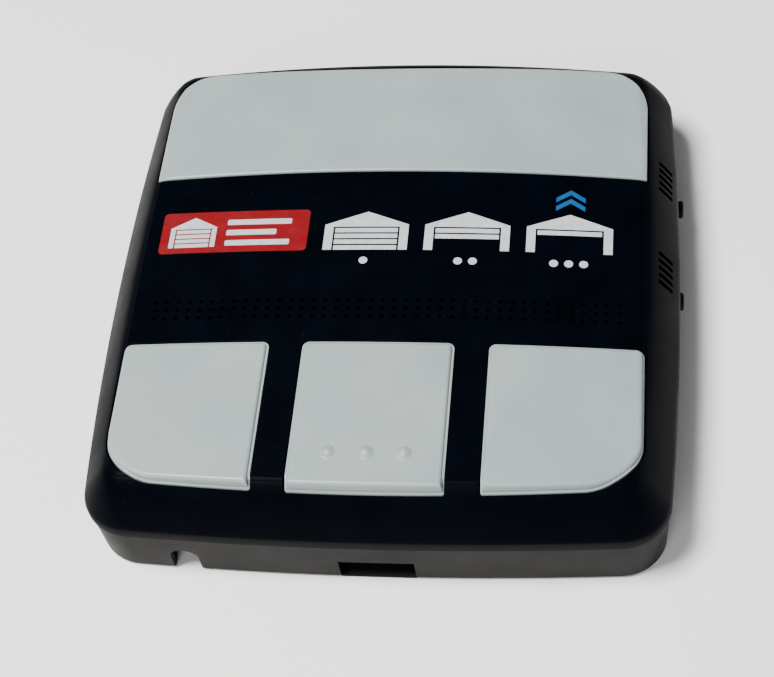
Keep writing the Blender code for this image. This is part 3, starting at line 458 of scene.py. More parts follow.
def lens_bottom(x, y):
    depth = lens_depth(x, y)
    inner = face_height(x, inset_at(x, y), LENS_PROUD - CAP_WALL)
    skirt = LENS_LOW.z + 0.0 * x
    rising = np.clip((depth - CAP_WALL) / CAP_WALL_BLEND, 0, 1)
    return skirt + (np.maximum(inner, skirt) - skirt) * rising


def dots(x, y):
    """Height of the three raised dots on the middle button."""
    height = 0.0 * x
    for step in DOT_PLACES:
        share = np.hypot(x - step * DOT_PITCH, y - DOT_Y) / DOT_RADIUS
        height += DOT_HEIGHT * np.clip(1 - share**2, 0, None) ** 1.5
    return height


def button_top(side):
    """The button's top: flange, drafted wall, rounded edge and crowned face."""

    def height(x, y):
        depth = button_depth(side, x, y)
        crown = FACE_Z - x * x / (2 * CROWN_RADIUS) + BUTTON_PROUD
        flange = face_height(x, inset_at(x, y) - WINDOW_GAP - FLANGE_WIDTH) + FLANGE_PROUD
        flange -= edge_drop(depth, FLANGE_ROUNDING)
        rounded = crown - edge_drop(depth - WALL_START - WALL_DRAFT, BUTTON_ROUNDING)
        wall = np.clip((depth - WALL_START) / WALL_DRAFT, 0, 1)
        height = flange + (np.maximum(rounded, flange) - flange) * wall
        if side == "middle":
            height += dots(x, y)
        return height

    return height


def button_bottom(side):
    def height(x, y):
        depth = button_depth(side, x, y)
        inner = FACE_Z - x * x / (2 * CROWN_RADIUS) + BUTTON_PROUD - CAP_WALL
        skirt = MIDDLE_LOW.z + 0.0 * x
        rising = np.clip((depth - CAP_WALL) / CAP_WALL_BLEND, 0, 1)
        return skirt + (np.maximum(inner, skirt) - skirt) * rising

    return height


# ---------------------------------------------------------------- meshes


MERGE_DISTANCE = 1e-4
SLOPE_STEP = 0.002


def sheet(rings, free_points, keep):
    """A flat triangle mesh whose edges follow the rings, kept where keep(x, y) is true."""
    points, edges = [], []
    for ring in rings:
        start, count = len(points), len(ring)
        points += ring
        edges += [(start + i, start + (i + 1) % count) for i in range(count)]
    points += free_points
    made = delaunay_2d_cdt([Vector(p) for p in points], edges, [], 0, MERGE_DISTANCE)
    flat = np.array([tuple(v) for v in made[0]])
    corners = np.array([tuple(f) for f in made[2]])
    centres = flat[corners].mean(axis=1)
    corners = corners[keep(centres[:, 0], centres[:, 1])]
    a, b, c = (flat[corners[:, i]] for i in range(3))
    area = (b[:, 0] - a[:, 0]) * (c[:, 1] - a[:, 1]) - (b[:, 1] - a[:, 1]) * (c[:, 0] - a[:, 0])
    corners[area < 0] = corners[area < 0][:, ::-1]
    used, renumbered = np.unique(corners, return_inverse=True)
    return flat[used], renumbered.reshape(corners.shape)


def surface_normals(height, flat, corners):
    """The surface's normal at each triangle's corners, read just inside the triangle."""
    centres = flat[corners].mean(axis=1, keepdims=True)
    places = (0.96 * flat[corners] + 0.04 * centres).reshape(-1, 2)
    x, y = places[:, 0], places[:, 1]
    step = SLOPE_STEP
    slope_x = (height(x + step, y) - height(x - step, y)) / (2 * step)
    slope_y = (height(x, y + step) - height(x, y - step)) / (2 * step)
    normals = np.stack([-slope_x, -slope_y, np.ones_like(slope_x)], axis=1)
    return normals / np.linalg.norm(normals, axis=1, keepdims=True)


def linked(mesh, name, material):
    mesh.materials.append(material)
    obj = bpy.data.objects.new(name, mesh)
    bpy.context.scene.collection.objects.link(obj)
    return obj


def solid(name, flat, corners, top, bottom, material):
    """A closed body between two heights over a flat triangle mesh."""
    count = len(flat)
    upper = np.column_stack([flat, top(flat[:, 0], flat[:, 1])])
    lower = np.column_stack([flat, bottom(flat[:, 0], flat[:, 1])])
    directed = {tuple(edge) for t in corners.tolist() for edge in zip(t, t[1:] + t[:1])}
    border = [(a, b) for a, b in directed if (b, a) not in directed]
    walls = [(a, a + count, b + count, b) for a, b in sorted(border)]
    faces = corners.tolist() + (corners[:, ::-1] + count).tolist() + walls
    mesh = bpy.data.meshes.new(name)
    mesh.from_pydata((np.vstack([upper, lower]) * MM).tolist(), [], faces)
    mesh.shade_smooth()
    mesh.set_sharp_from_angle(angle=math.radians(40))
    normals = np.zeros((len(mesh.loops), 3))
    top_loops = corners.size
    normals[:top_loops] = surface_normals(top, flat, corners)
    normals[top_loops : 2 * top_loops] = -surface_normals(bottom, flat, corners[:, ::-1])
    mesh.normals_split_custom_set(normals.tolist())
    return linked(mesh, name, material)


def grid_points(x_range, y_range, spacing, allowed):
    xs = np.arange(x_range[0], x_range[1], spacing)
    ys = np.arange(y_range[0], y_range[1], spacing)
    x, y = (axis.ravel() for axis in np.meshgrid(xs, ys))
    good = allowed(x, y)
    return list(zip(x[good].tolist(), y[good].tolist()))


def loft(rings, name, material):
    """A closed body through rings of the same number of points, with both ends capped."""
    builder = bmesh.new()
    made = [[builder.verts.new(Vector(point) * MM) for point in ring] for ring in rings]
    for lower, upper in zip(made, made[1:]):
        for index in range(len(lower)):
            following = (index + 1) % len(lower)
            builder.faces.new((lower[index], lower[following], upper[following], upper[index]))
    builder.faces.new(list(reversed(made[0])))
    builder.faces.new(made[-1])
    bmesh.ops.recalc_face_normals(builder, faces=builder.faces)
    mesh = bpy.data.meshes.new(name)
    builder.to_mesh(mesh)
    builder.free()
    return linked(mesh, name, material)


def level_ring(inset, z):
    return [(x, y, z) for x, y in case_outline(inset)]


# ---------------------------------------------------------------- materials


DUST_COLOUR = (0.03, 0.03, 0.029)
# Heights over which the painted sheen on the rim fades into the plastic's own darker colour.
RIM_SHEEN_Z = (RIM_TOP_Z - 0.1, RIM_TOP_Z + 0.5)


class Shader:
    """A Principled material whose colour, roughness and relief come from noise in the object's space."""

    def __init__(self, name, roughness=0.5, metallic=0.0, specular=0.5):
        self.material = bpy.data.materials.new(name)
        self.material.use_nodes = True
        self.tree = self.material.node_tree
        self.principled = self.tree.nodes["Principled BSDF"]
        self.principled.inputs["Roughness"].default_value = roughness
        self.principled.inputs["Metallic"].default_value = metallic
        self.principled.inputs["Specular IOR Level"].default_value = specular
        self.place = self.tree.nodes.new("ShaderNodeTexCoord").outputs["Object"]

    def noise(self, size, detail=2.0, roughness=0.5):
        """Noise whose features are about size millimetres across."""
        node = self.tree.nodes.new("ShaderNodeTexNoise")
        node.inputs["Scale"].default_value = 1 / (size * MM)
        node.inputs["Detail"].default_value = detail
        node.inputs["Roughness"].default_value = roughness
        self.tree.links.new(self.place, node.inputs["Vector"])
        return node.outputs["Fac"]

    def ramp(self, source, low, high, start=0.35, end=0.65):
        """Maps noise onto numbers from low to high."""
        node = self.tree.nodes.new("ShaderNodeMapRange")
        node.inputs["From Min"].default_value = start
        node.inputs["From Max"].default_value = end
        node.inputs["To Min"].default_value = low
        node.inputs["To Max"].default_value = high
        self.tree.links.new(source, node.inputs["Value"])
        return node.outputs["Result"]

    def height_share(self, start, end):
        """Goes from 0 to 1 between two heights in millimetres above the back of the case."""
        split = self.tree.nodes.new("ShaderNodeSeparateXYZ")
        self.tree.links.new(self.place, split.inputs["Vector"])
        return self.ramp(split.outputs["Z"], 0, 1, start * MM, end * MM)

    def blend(self, share, first, second):
        """Mixes two colours by a share."""
        node = self.tree.nodes.new("ShaderNodeMix")
        node.data_type = "RGBA"
        self.tree.links.new(share, node.inputs["Factor"])
        for socket, colour in (("A", first), ("B", second)):
            target = next(i for i in node.inputs if i.name == socket and i.type == "RGBA")
            if isinstance(colour, tuple):
                target.default_value = (*colour, 1)
            else:
                self.tree.links.new(colour, target)
        return next(o for o in node.outputs if o.type == "RGBA")

    def colour(self, source):
        self.tree.links.new(source, self.principled.inputs["Base Color"])

    def roughness(self, source):
        self.tree.links.new(source, self.principled.inputs["Roughness"])

    def relief(self, source, height, before=None):
        """Bump of a height in millimetres, on top of an earlier bump."""
        node = self.tree.nodes.new("ShaderNodeBump")
        node.inputs["Strength"].default_value = 1.0
        node.inputs["Distance"].default_value = height * MM
        self.tree.links.new(source, node.inputs["Height"])
        if before:
            self.tree.links.new(before, node.inputs["Normal"])
        self.tree.links.new(node.outputs["Normal"], self.principled.inputs["Normal"])
        return node.outputs["Normal"]


def textured_plastic(name, dark, light, roughness, grain, relief, specular=0.5, rim_sheen_colour=None):
    """Moulded plastic with a fine spark-eroded grain, faint mottling and sparse dust.

    Below the top of its rim it can take a paler colour: a painted sheen for the reflected light the rim
    band catches.
    """
    shader = Shader(name, roughness, specular=specular)
    mottle = shader.ramp(shader.noise(9, 4), 0, 1)
    base = shader.blend(mottle, dark, light)
    if rim_sheen_colour:
        # Painted sheen: under the rim's top the colour turns paler, standing in for reflected light.
        above_rim = shader.height_share(*RIM_SHEEN_Z)
        base = shader.blend(above_rim, rim_sheen_colour, base)
    dust = shader.ramp(shader.noise(0.45, 1), 0, 0.35, 0.765, 0.80)
    shader.colour(shader.blend(dust, base, DUST_COLOUR))
    shader.roughness(shader.ramp(shader.noise(14, 5, 0.6), roughness - 0.05, roughness + 0.05))
    coarse = shader.relief(shader.noise(grain * 2.5, 2), relief * 0.6)
    shader.relief(shader.noise(grain, 2, 0.6), relief, coarse)
    return shader.material


def milky_plastic(name, dark, light, roughness):
    """Translucent white plastic: light spreads a little way under its surface."""
    shader = Shader(name, roughness, specular=0.42)
    cloud = shader.ramp(shader.noise(16, 3), 0, 1)
    shader.colour(shader.blend(cloud, dark, light))
    shader.roughness(shader.ramp(shader.noise(6, 4), roughness - 0.04, roughness + 0.04))
    shader.principled.inputs["Subsurface Weight"].default_value = 0.35
    shader.principled.inputs["Subsurface Scale"].default_value = 1.0 * MM
    shader.principled.inputs["Subsurface Radius"].default_value = (1.0, 1.0, 1.05)
    coarse = shader.relief(shader.noise(1.4, 2), 0.004)
    shader.relief(shader.noise(0.4, 2), 0.006, coarse)
    return shader.material


def plain_plastic(name, colour, roughness, relief=0.004):
    """Small moulded parts: faint colour change and fine relief."""
    shader = Shader(name, roughness)
    darker = tuple(channel * 0.8 for channel in colour)
    shader.colour(shader.blend(shader.ramp(shader.noise(3, 3), 0, 1), darker, colour))
    shader.roughness(shader.ramp(shader.noise(2, 3), roughness - 0.06, roughness + 0.06))
    shader.relief(shader.noise(0.3, 2), relief)
    return shader.material


def metal(name, colour, roughness):
    """Plated or rolled metal with fine scratches and uneven shine."""
    shader = Shader(name, roughness, metallic=1.0)
    darker = tuple(channel * 0.75 for channel in colour)
    shader.colour(shader.blend(shader.ramp(shader.noise(2.5, 4), 0, 1), darker, colour))
    shader.roughness(shader.ramp(shader.noise(1.2, 4), roughness - 0.08, roughness + 0.1))
    shader.relief(shader.noise(0.15, 3), 0.003)
    return shader.material


def circuit_board(name):
    """Green solder mask with lighter copper tracks under it."""
    shader = Shader(name, 0.35)
    tracks = shader.ramp(shader.noise(2.4, 0), 0, 1, 0.49, 0.51)
    shader.colour(shader.blend(tracks, (0.008, 0.10, 0.035), (0.02, 0.19, 0.07)))
    shader.relief(tracks, 0.02)
    return shader.material


def printed_ink(name, colour, specular=0.2):
    """Screen-printed ink: slightly uneven, with a soft shine."""
    shader = Shader(name, 0.4, specular=specular)
    darker = tuple(channel * 0.86 for channel in colour)
    shader.colour(shader.blend(shader.ramp(shader.noise(1.5, 4), 0, 1), darker, colour))
    shader.roughness(shader.ramp(shader.noise(4, 3), 0.34, 0.46))
    shader.relief(shader.noise(0.25, 2), 0.004)
    return shader.material


def floor_surface():
    shader = Shader("floor_surface", 0.6)
    cloud = shader.ramp(shader.noise(90, 3), 0, 1)
    shader.colour(shader.blend(cloud, (0.86, 0.86, 0.86), (0.88, 0.88, 0.88)))
    return shader.material


COVER_PLASTIC = textured_plastic(
    "cover_plastic",
    dark=(0.0003, 0.0007, 0.0018),
    light=(0.0006, 0.0012, 0.0030),
    roughness=0.44,
    grain=0.22,
    relief=0.008,
    specular=0.018,
    # Painted sheen: a paler colour on the rim and below it, for the reflection the rim band shows.
    rim_sheen_colour=(0.010, 0.010, 0.011),
)
HOUSING_PLASTIC = textured_plastic(
    "housing_plastic",
    dark=(0.0040, 0.0040, 0.0040),
    light=(0.0056, 0.0056, 0.0054),
    roughness=0.45,
    grain=0.25,
    relief=0.012,
    specular=0.06,
)
LENS_PLASTIC = milky_plastic("lens_plastic", (0.245, 0.295, 0.300), (0.272, 0.325, 0.328), 0.36)
INK_WHITE = printed_ink("ink_white", (0.44, 0.46, 0.49))
INK_RED = printed_ink("ink_red", (0.17, 0.004, 0.007))
INK_DARK = printed_ink("ink_dark", (0.0004, 0.0005, 0.0008), 0.0)
INK_BLUE = printed_ink("ink_blue", (0.006, 0.075, 0.24))
SLOT_MATERIALS = {
    "cover_plastic": COVER_PLASTIC,
    "housing_plastic": HOUSING_PLASTIC,
    "lens_white": LENS_PLASTIC,
    "reflector_white": plain_plastic("reflector_white", (0.82, 0.82, 0.80), 0.5),
    "board_green": circuit_board("board_green"),
    "component_black": plain_plastic("component_black", (0.02, 0.02, 0.022), 0.5),
    "relay_blue": plain_plastic("relay_blue", (0.03, 0.12, 0.35), 0.35),
    "terminal_green": plain_plastic("terminal_green", (0.004, 0.022, 0.010), 0.6),
    "steel": metal("steel", (0.60, 0.60, 0.62), 0.3),
    "brass": metal("brass", (0.75, 0.56, 0.25), 0.3),
    "aluminium": metal("aluminium", (0.78, 0.78, 0.80), 0.35),
    "foam": plain_plastic("foam", (0.03, 0.03, 0.03), 0.9, 0.05),
    "paper_cone": plain_plastic("paper_cone", (0.05, 0.045, 0.04), 0.8, 0.02),
    "label_silver": plain_plastic("label_silver", (0.58, 0.58, 0.58), 0.4),
    "lamp_white": plain_plastic("lamp_white", (0.88, 0.86, 0.68), 0.25),
}


def dress_cad_nodes():
    """Gives every carried-over CAD node its slot's material."""
    for entry in frame["record"]["subparts"]:
        node = frame["nodes"][entry["node"]]
        node.data.materials.clear()
        node.data.materials.append(SLOT_MATERIALS[entry["material_slot"]])


# ---------------------------------------------------------------- pieces of the case


def make_cover():
    """The front cover's fine shell, with windows and siren holes."""
    rings = [case_outline(inset) for inset in RIM_RINGS]
    rings += [case_outline(inset) for inset in CREASE_RINGS]
    for step in WINDOW_RINGS:
        rings.append(lens_outline(WINDOW_GAP + step))
        rings += [button_outline(side, WINDOW_GAP + step) for side in BUTTONS]
    for centre in hole_centres():
        rings.append(circle(centre, HOLE_RADIUS, HOLE_STEPS))
        rings.append(circle(centre, HOLE_RADIUS + HOLE_ROUNDING, HOLE_STEPS))

    def in_material(x, y):
        depths = [lens_depth(x, y), *(button_depth(side, x, y) for side in BUTTONS)]
        outside = np.max(depths, axis=0) < -WINDOW_GAP
        return outside & (hole_distance(x, y) > HOLE_RADIUS * 0.99) & (inset_at(x, y) > 0)

    def open_field(x, y):
        depths = [lens_depth(x, y), *(button_depth(side, x, y) for side in BUTTONS)]
        clear = np.max(depths, axis=0) < -WINDOW_GAP - WINDOW_CLEARANCE
        clear &= hole_distance(x, y) > HOLE_CLEARANCE
        return clear & (inset_at(x, y) > CREASE_RINGS[-1] + CREASE_CLEARANCE)

    field = grid_points(FIELD_RANGE, FIELD_RANGE, FIELD_SPACING, open_field)
    flat, corners = sheet(rings, field, in_material)
    cover = solid("cover_shell", flat, corners, cover_top, cover_bottom, COVER_PLASTIC)
    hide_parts("front_cover")
    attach(cover, "case")


def make_lens():
    rings = [lens_outline(-step) for step in (*LENS_RINGS, CAP_WALL, CAP_WALL + CAP_WALL_BLEND)]

    def open_field(x, y):
        return lens_depth(x, y) > CAP_CLEARANCE

    field = grid_points(FIELD_RANGE, LENS_FIELD_Y, FIELD_SPACING, open_field)
    flat, corners = sheet(rings, field, lambda x, y: lens_depth(x, y) > 0)
    lens = solid("lens_shell", flat, corners, lens_top, lens_bottom, LENS_PLASTIC)
    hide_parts("warning_light_lens")
    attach(lens, "case")


def make_button(side):
    round_start = WALL_START + WALL_DRAFT
    steps = [0, 0.03, FLANGE_ROUNDING, FLANGE_WIDTH, WALL_START, round_start]
    for angle in BUTTON_ROUNDING_ANGLES:
        steps.append(round_start + BUTTON_ROUNDING * (1 - math.cos(math.radians(angle))))
    steps += [CAP_WALL, CAP_WALL + CAP_WALL_BLEND]
    rings = [button_outline(side, -step) for step in steps]
    if side == "middle":
        for step in DOT_PLACES:
            for share in DOT_RINGS:
                rings.append(circle((step * DOT_PITCH, DOT_Y), DOT_RADIUS * share, DOT_STEPS))

    def open_field(x, y):
        clear = button_depth(side, x, y) > CAP_CLEARANCE
        if side == "middle":
            nearest = np.min([np.hypot(x - s * DOT_PITCH, y - DOT_Y) for s in DOT_PLACES], axis=0)
            clear &= nearest > DOT_RADIUS + DOT_CLEARANCE
        return clear

    field = grid_points(BUTTONS[side][0], BUTTON_Y, FIELD_SPACING, open_field)
    flat, corners = sheet(rings, field, lambda x, y: button_depth(side, x, y) > 0)
    name = f"button_cap_{side}"
    cap = solid(name, flat, corners, button_top(side), button_bottom(side), LENS_PLASTIC)
    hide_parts(f"door_button_{side}")
    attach(cap, f"door_button_{side}")


# ---------------------------------------------------------------- rear housing and side buttons


def box_mesh(pairs):
    """Separate boxes in one mesh, each from its lowest and highest corner."""
    builder = bmesh.new()
    for low, high in pairs:
        size = [(b - a) * MM for a, b in zip(low, high)]
        centre = Vector([(a + b) / 2 * MM for a, b in zip(low, high)])
        matrix = Matrix.Translation(centre) @ Matrix.Diagonal((*size, 1))
        bmesh.ops.create_cube(builder, size=1, matrix=matrix)
    return builder


def add_cylinder(builder, centre, radius, length, axis="Z"):
    turn = {"X": Matrix.Rotation(math.pi / 2, 4, "Y"), "Y": Matrix.Rotation(math.pi / 2, 4, "X")}
    matrix = Matrix.Translation(Vector(centre) * MM) @ turn.get(axis, Matrix.Identity(4))
    bmesh.ops.create_cone(
        builder,
        cap_ends=True,
        segments=CYLINDER_STEPS,
        radius1=radius * MM,
        radius2=radius * MM,
        depth=length * MM,
        matrix=matrix,
    )


def add_prism(builder, outline, z_range):
    low, high = z_range
    corners = [builder.verts.new((x * MM, y * MM, low * MM)) for x, y in outline]
    base = builder.faces.new(corners)
    made = bmesh.ops.extrude_face_region(builder, geom=[base])["geom"]
    top = [item for item in made if isinstance(item, bmesh.types.BMVert)]
    bmesh.ops.translate(builder, verts=top, vec=(0, 0, (high - low) * MM))


def carve(obj, operation, builder):
    """Joins or cuts a body with a bmesh."""
    bmesh.ops.recalc_face_normals(builder, faces=builder.faces)
    mesh = bpy.data.meshes.new("tool")
    builder.to_mesh(mesh)
    builder.free()
    tool = bpy.data.objects.new("tool", mesh)
    bpy.context.scene.collection.objects.link(tool)
    modifier = obj.modifiers.new("carve", "BOOLEAN")
    modifier.operation = operation
    modifier.object = tool
    applied(obj)
    bpy.data.objects.remove(tool)


def applied(obj):
    """Turns an object's modifiers into mesh."""
    depsgraph = bpy.context.evaluated_depsgraph_get()
    mesh = bpy.data.meshes.new_from_object(obj.evaluated_get(depsgraph))
    obj.modifiers.clear()
    obj.data = mesh


def soften_edges(obj, width):
    """Rounds an object's hard edges and keeps its flat faces flat."""
    bevel = obj.modifiers.new("soft edges", "BEVEL")
    bevel.width = width * MM
    bevel.segments = 2
    bevel.limit_method = "ANGLE"
    bevel.angle_limit = math.radians(40)
    bevel.miter_outer = "MITER_ARC"
    applied(obj)
    obj.data.shade_smooth()
    obj.data.set_sharp_from_angle(angle=math.radians(50))
    weighted = obj.modifiers.new("flat faces", "WEIGHTED_NORMAL")
    weighted.keep_sharp = True
    applied(obj)


def keyhole_outline(x):
    """A round hole for a screw head with a slot above it for the screw's neck."""
    neck_angle = math.asin(KEYHOLE_SLOT / KEYHOLE_HEAD)
    points = []
    for step in range(KEYHOLE_HEAD_STEPS + 1):
        turn = 2 * (math.pi - neck_angle) * step / KEYHOLE_HEAD_STEPS
        angle = math.pi / 2 + neck_angle + turn
        points.append((x + KEYHOLE_HEAD * math.cos(angle), KEYHOLE_Y + KEYHOLE_HEAD * math.sin(angle)))
    for step in range(KEYHOLE_SLOT_STEPS + 1):
        angle = math.pi * step / KEYHOLE_SLOT_STEPS
        top = KEYHOLE_Y + KEYHOLE_LENGTH + KEYHOLE_SLOT * math.sin(angle)
        points.append((x + KEYHOLE_SLOT * math.cos(angle), top))
    return points


def recess_boxes(grow):
    """The two wiring recesses, or with grow the blocks of plastic around them."""
    base = BLOCK_LOW_Z if grow else RECESS_CUT_LOW_Z
    mouth = RECESS_MOUTH_Y - (RECESS_MOUTH_REACH if grow else 0)
    x0, x1 = WIRE_RECESS_X
    cord0, cord1 = CORD_X - CORD_RECESS_HALF, CORD_X + CORD_RECESS_HALF
    roof = RECESS_ROOF_Z + grow
    return [
        ((x0 - grow, mouth, base), (x1 + grow, WIRE_RECESS_TOP_Y + grow, roof)),
        ((cord0 - grow, mouth, base), (cord1 + grow, CORD_RECESS_TOP_Y + grow, roof)),
    ]


def pocket_boxes(grow, low_z):
    """The room behind each keyhole for a screw's head, or with grow the plastic around it."""
    reach = POCKET_REACH + grow
    pairs = []
    for x in (-KEYHOLE_X, KEYHOLE_X):
        high = (x + reach, KEYHOLE_Y + KEYHOLE_LENGTH + reach, POCKET_ROOF_Z + grow)
        pairs.append(((x - reach, KEYHOLE_Y - reach, low_z), high))
    return pairs


def cut_terminal_and_jack_holes(housing):
    cut_low, cut_high = TERMINAL_CUT_Z
    pairs = []
    for node in ("terminal_block", "power_jack"):
        low, high = node_box(node)
        cut_from = (low.x - TERMINAL_GAP, low.y - TERMINAL_GAP, cut_low)
        pairs.append((cut_from, (high.x + TERMINAL_GAP, high.y + TERMINAL_GAP, cut_high)))
    carve(housing, "DIFFERENCE", box_mesh(pairs))


def cut_notches(housing):
    """The openings in the lower wall for the wires and, with a round top, for the power cord."""
    inside = RECESS_MOUTH_Y + 1
    notch_low = (WIRE_NOTCH_X[0], CUT_LOW_Y, CUT_LOW_Z)
    carve(housing, "DIFFERENCE", box_mesh([(notch_low, (WIRE_NOTCH_X[1], inside, WIRE_NOTCH_Z))]))
    cord_low = (CORD_X - CORD_NOTCH_RADIUS, CUT_LOW_Y, CUT_LOW_Z)
    cord_high = (CORD_X + CORD_NOTCH_RADIUS, inside, CORD_NOTCH_Z)
    carve(housing, "DIFFERENCE", box_mesh([(cord_low, cord_high)]))
    round_top = bmesh.new()
    middle = (CORD_X, (CUT_LOW_Y + inside) / 2, CORD_NOTCH_Z)
    add_cylinder(round_top, middle, CORD_NOTCH_RADIUS, inside - CUT_LOW_Y, "Y")
    carve(housing, "DIFFERENCE", round_top)


def cut_screw_seats_and_keyholes(housing):
    for x, y in POSTS:
        seat = bmesh.new()
        add_cylinder(seat, (x, y, 0), SCREW_HEAD_RADIUS, 2 * SCREW_SEAT_Z)
        carve(housing, "DIFFERENCE", seat)
    for x in (-KEYHOLE_X, KEYHOLE_X):
        keyhole = bmesh.new()
        add_prism(keyhole, keyhole_outline(x), (CUT_LOW_Z, HOUSING_FLOOR + 1))
        carve(housing, "DIFFERENCE", keyhole)


def cut_side_holes(housing):
    side_holes = bmesh.new()
    for level in SIDE_LEVELS:
        low, high = node_box(f"side_button_{level}")
        middle = (low + high) / 2
        place = (SIDE_HOLE_X, middle.y, middle.z)
        add_cylinder(side_holes, place, SIDE_BUTTON_RADIUS + SIDE_HOLE_GAP, SIDE_HOLE_LENGTH, "X")
    carve(housing, "DIFFERENCE", side_holes)


def make_housing():
    shell = [level_ring(inset, z) for inset, z in HOUSING_SECTION]
    housing = loft(shell, "housing_shell", HOUSING_PLASTIC)
    blocks = recess_boxes(RECESS_WALL) + pocket_boxes(POCKET_WALL, BLOCK_LOW_Z)
    carve(housing, "UNION", box_mesh(blocks))
    posts = bmesh.new()
    for x, y in POSTS:
        add_cylinder(posts, (x, y, POST_MIDDLE_Z), POST_RADIUS, POST_LENGTH)
    carve(housing, "UNION", posts)
    carve(housing, "DIFFERENCE", box_mesh(recess_boxes(0) + pocket_boxes(0, HOUSING_FLOOR)))
    label_low, label_high = LABEL
    carve(housing, "DIFFERENCE", box_mesh([((*label_low, CUT_LOW_Z), (*label_high, LABEL_DEPTH))]))
    cut_notches(housing)
    cut_terminal_and_jack_holes(housing)
    cut_screw_seats_and_keyholes(housing)
    cut_side_holes(housing)
    soften_edges(housing, HOUSING_EDGE_WIDTH)
    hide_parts("rear_housing")
    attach(housing, "case")


def make_notch_shade_sheet():
    """The thin dark tongue that closes the foot of the wire notch behind the wall's face: dark plastic
    there, and painted shade that keeps the floor seen through the notch black.
    """
    low = (WIRE_NOTCH_X[0], TONGUE_Y[0], 0)
    high = (WIRE_NOTCH_X[1], TONGUE_Y[1], TONGUE_TOP_Z)
    builder = box_mesh([(low, high)])
    mesh = bpy.data.meshes.new("notch_shade_sheet")
    builder.to_mesh(mesh)
    builder.free()
    tongue = linked(mesh, "notch_shade_sheet", COVER_PLASTIC)
    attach(tongue, "case")


def make_side_button(level):
    """A turned nub with a rounded tip, a flange behind the wall and a pin towards its switch."""
    low, high = node_box(f"side_button_{level}")
    tip, middle = high.x, (low + high) / 2
    flange_start, flange_end = SIDE_FLANGE_X
    profile = [
        (low.x, SIDE_PIN_RADIUS),
        (flange_start, SIDE_PIN_RADIUS),
        (flange_start, SIDE_FLANGE_RADIUS),
        (flange_end, SIDE_FLANGE_RADIUS),
        (flange_end, SIDE_BUTTON_RADIUS),
    ]
    rounding = SIDE_TIP_ROUNDING
    for angle in range(0, 91, 15):
        turn = math.radians(angle)
        x = tip - rounding + rounding * math.sin(turn)
        profile.append((x, SIDE_BUTTON_RADIUS - rounding + rounding * math.cos(turn)))
    profile += [(tip - depth, radius) for depth, radius in SIDE_TIP_DISH]
    rings = []
    for x, radius in profile:
        around = circle((0, 0), radius, SIDE_STEPS_AROUND)
        rings.append([(x, middle.y + y, middle.z + z) for y, z in around])
    button = loft(rings, f"side_nub_{level}", COVER_PLASTIC)
    button.data.shade_smooth()
    button.data.set_sharp_from_angle(angle=math.radians(35))
    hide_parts(f"side_button_{level}")
    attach(button, f"side_button_{level}")


# ---------------------------------------------------------------- printing on the face


# How far each print's top stands above the cover, and where its underside lies.
INK_BOTTOM = 0.005
PLATE_LIFT = 0.02
PLATE_PICTURE_LIFT = 0.035
PICTURE_LIFT = 0.03
MARK_LIFT = 0.06
INK_SPACING = 2.0
INK_FIELD_MARGIN = (1.3, 1.1)

# A house picture's proportions, and the number of slats that fill its door.
EAVES_SHARE = 0.66
FRAME_SHARE = 0.105
LINTEL_SHARE = 0.3
SLAT_GAP_SHARE = 0.24
FULL_SLATS = 4

# The pictures' places and sizes, from left to right.
PLATE = (-52.0, 1.9, -18.4, 13.4)
PLATE_DOOR = (-44.6, 3.5, 10.6, 8.4)
BAR_LENGTHS = (14.6, 11.4, 14.6)
BAR_LEFT_X = -37.0
BAR_TOP_Y = 11.0
BAR_PITCH = 2.9
BAR_WIDTH = 1.5
DOOR_SLATS = (FULL_SLATS, 2, 1)
DOOR_FIRST_X = -5.4
DOOR_PITCH = 22.2
DOOR_BASE_Y = 2.0
DOOR_WIDTH = 18.6
DOOR_HEIGHT = 10.6
PRINTED_DOT_PITCH = 3.2
PRINTED_DOT_Y = -0.9
PRINTED_DOT_RADIUS = 0.95
PRINTED_DOT_STEPS = 28
CHEVRON_X = 39.0
CHEVRON_BASE_Y = 13.6
CHEVRON_PITCH = 2.4
CHEVRON_HALF_WIDTH = 3.2
CHEVRON_RISE = 2.2
CHEVRON_THICKNESS = 1.3


def crosses(outline, x, y):
    """How often a line from each point to the right crosses an outline, as odd or even."""
    odd = np.zeros(len(x), bool)
    for (ax, ay), (bx, by) in zip(outline, outline[1:] + outline[:1]):
        if ay != by:
            level = (ay > y) != (by > y)
            odd ^= level & (x < ax + (y - ay) * (bx - ax) / (by - ay))
    return odd


def decal(name, outlines, lift, material):
    """A thin printed shape that follows the cover; an outline inside another is a hole."""
    rings = [densified(outline, INK_SPACING) for outline in outlines]

    def in_ink(x, y):
        return np.logical_xor.reduce([crosses(ring, x, y) for ring in rings])

    def upper(x, y):
        return cover_top(x, y) + lift

    def lower(x, y):
        return cover_top(x, y) + INK_BOTTOM

    flat_points = [point for ring in rings for point in ring]
    xs, ys = zip(*flat_points)
    x_range = (min(xs) + INK_FIELD_MARGIN[0], max(xs))
    y_range = (min(ys) + INK_FIELD_MARGIN[1], max(ys))
    field = grid_points(x_range, y_range, INK_SPACING, in_ink)
    flat, corners = sheet(rings, field, in_ink)
    ink = solid(name, flat, corners, upper, lower, material)
    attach(ink, "case")


def rectangle(x0, y0, x1, y1, radius=0.25):
    return rounded_outline((x0, x1), (y0, y1), (radius,) * 4)


